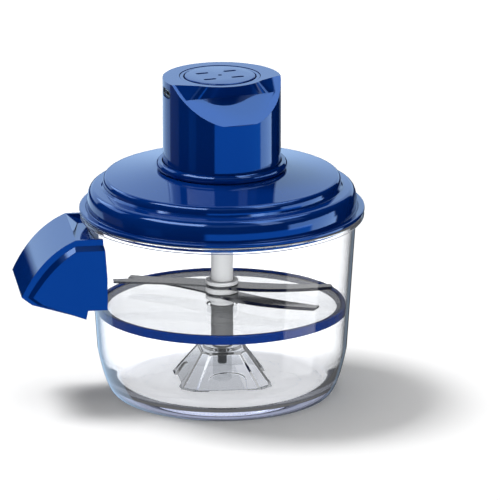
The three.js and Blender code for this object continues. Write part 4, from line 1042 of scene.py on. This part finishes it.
def addPanels(tree, s, azimuth):
    # soft-edged bright fields on the inside of the sky
    way = addNode(tree, "ShaderNodeVectorRotate", rotation_type="Z_AXIS", Angle=math.radians(-azimuth))
    tree.links.new(addNode(tree, "ShaderNodeTexCoord").outputs["Generated"], way.inputs["Vector"])
    axes = addNode(tree, "ShaderNodeSeparateXYZ")
    tree.links.new(way.outputs[0], axes.inputs[0])
    front = addMath(tree, "MULTIPLY", axes.outputs["Y"], -1)
    turn = addMath(tree, "DEGREES", addMath(tree, "ARCTAN2", axes.outputs["X"], front))
    height = addMath(tree, "DEGREES", addMath(tree, "ARCSINE", axes.outputs["Z"]))
    total, soft = None, s["soft"]
    for middle, half, level, halfHeight, strength, tint in s["panels"].values():
        beside = addMath(tree, "WRAP", addMath(tree, "SUBTRACT", turn, middle), 180, -180)
        above = addMath(tree, "SUBTRACT", height, level)
        shares = [spread(tree, addMath(tree, "ABSOLUTE", away), 1, 0, end - soft, end + soft)
                  for away, end in ((beside, half), (above, halfHeight))]
        panel = addNode(tree, "ShaderNodeBackground", Color=(*s["tints"][tint], 1))
        glow = addMath(tree, "MULTIPLY", addMath(tree, "MULTIPLY", *shares), strength)
        tree.links.new(glow, panel.inputs["Strength"])
        if total:
            both = addNode(tree, "ShaderNodeAddShader")
            tree.links.new(total.outputs[0], both.inputs[0])
            tree.links.new(panel.outputs[0], both.inputs[1])
            panel = both
        total = panel
    depth = addNode(tree, "ShaderNodeLightPath").outputs["Transmission Depth"]
    inside = addNode(tree, "ShaderNodeBackground", Color=(1, 1, 1, 1))
    tree.links.new(spread(tree, height, *s["inside"], *s["insideHeights"]), inside.inputs["Strength"])
    return mixShaders(tree, addMath(tree, "GREATER_THAN", depth, 0.5), total, inside)


def whatIsSeen(tree):
    # what the camera sees, and what it sees through clear plastic, but nothing mirrored
    path = addNode(tree, "ShaderNodeLightPath").outputs
    straight = addMath(tree, "LESS_THAN", path["Glossy Depth"], 0.5)
    through = addMath(tree, "MULTIPLY", path["Is Transmission Ray"], straight)
    return addMath(tree, "MAXIMUM", path["Is Camera Ray"], through), through, straight


def makeWorld(s, azimuth):
    # matt surfaces see an even fill, the gloss sees panels, the camera and clear plastic see white
    world = bpy.data.worlds.new("studio")
    bpy.context.scene.world = world
    world.use_nodes = True
    tree = world.node_tree
    fill, backdrop = (addNode(tree, "ShaderNodeBackground", Color=(1, 1, 1, 1), Strength=strength)
                      for strength in (s["fill"], 1))
    glossy = addNode(tree, "ShaderNodeLightPath").outputs["Is Glossy Ray"]
    lit = mixShaders(tree, glossy, fill, addPanels(tree, s, azimuth))
    last = mixShaders(tree, whatIsSeen(tree)[0], lit, backdrop)
    tree.links.new(last.outputs[0], tree.nodes["World Output"].inputs["Surface"])


def makeFloor(s):
    # the gloss looks past the floor to the panels, matt surfaces see it darker than the camera does
    half = s["half"]
    corners = [(-half, -half, 0), (half, -half, 0), (half, half, 0), (-half, half, 0)]
    floor = newPiece("floor", corners, [(0, 1, 2, 3)])
    material, shader = newMaterial("paleFloor", s["seenGrey"], Roughness=1)
    shader.inputs["Specular IOR Level"].default_value = 0
    shader.inputs["Emission Color"].default_value = (1, 1, 1, 1)
    tree = material.node_tree
    seen, through, straight = whatIsSeen(tree)
    tree.links.new(mixColours(tree, seen, s["mattGrey"], s["seenGrey"]), shader.inputs["Base Color"])
    # it brightens with the distance, so the far floor meets the white backdrop
    away = addNode(tree, "ShaderNodeVectorMath", operation="LENGTH")
    tree.links.new(addNode(tree, "ShaderNodeNewGeometry").outputs["Position"], away.inputs[0])
    far = spread(tree, away.outputs["Value"], 0, s["farGlow"], s["glowStart"], s["glowEnd"])
    # painted light: seen through the clear plastic the floor glows, lifting the lid's shade on the floor
    # under the bowl
    glow = addMath(tree, "MULTIPLY_ADD", through, s["throughGlow"], addMath(tree, "MULTIPLY", seen, far))
    tree.links.new(glow, shader.inputs["Emission Strength"])
    surface = mixShaders(tree, straight, addNode(tree, "ShaderNodeBsdfTransparent"), shader)
    tree.links.new(surface.outputs[0], tree.nodes["Material Output"].inputs["Surface"])
    floor.data.materials.append(material)


makeCamera(cameraSizes)
for name, lamp in studio["lamps"].items():
    addSoftbox(name, *lamp)
makeWorld(studio, cameraSizes["azimuth"])
makeFloor(floorLook)
bpy.context.scene.view_settings.view_transform = "Standard"
print("scene: studio made")
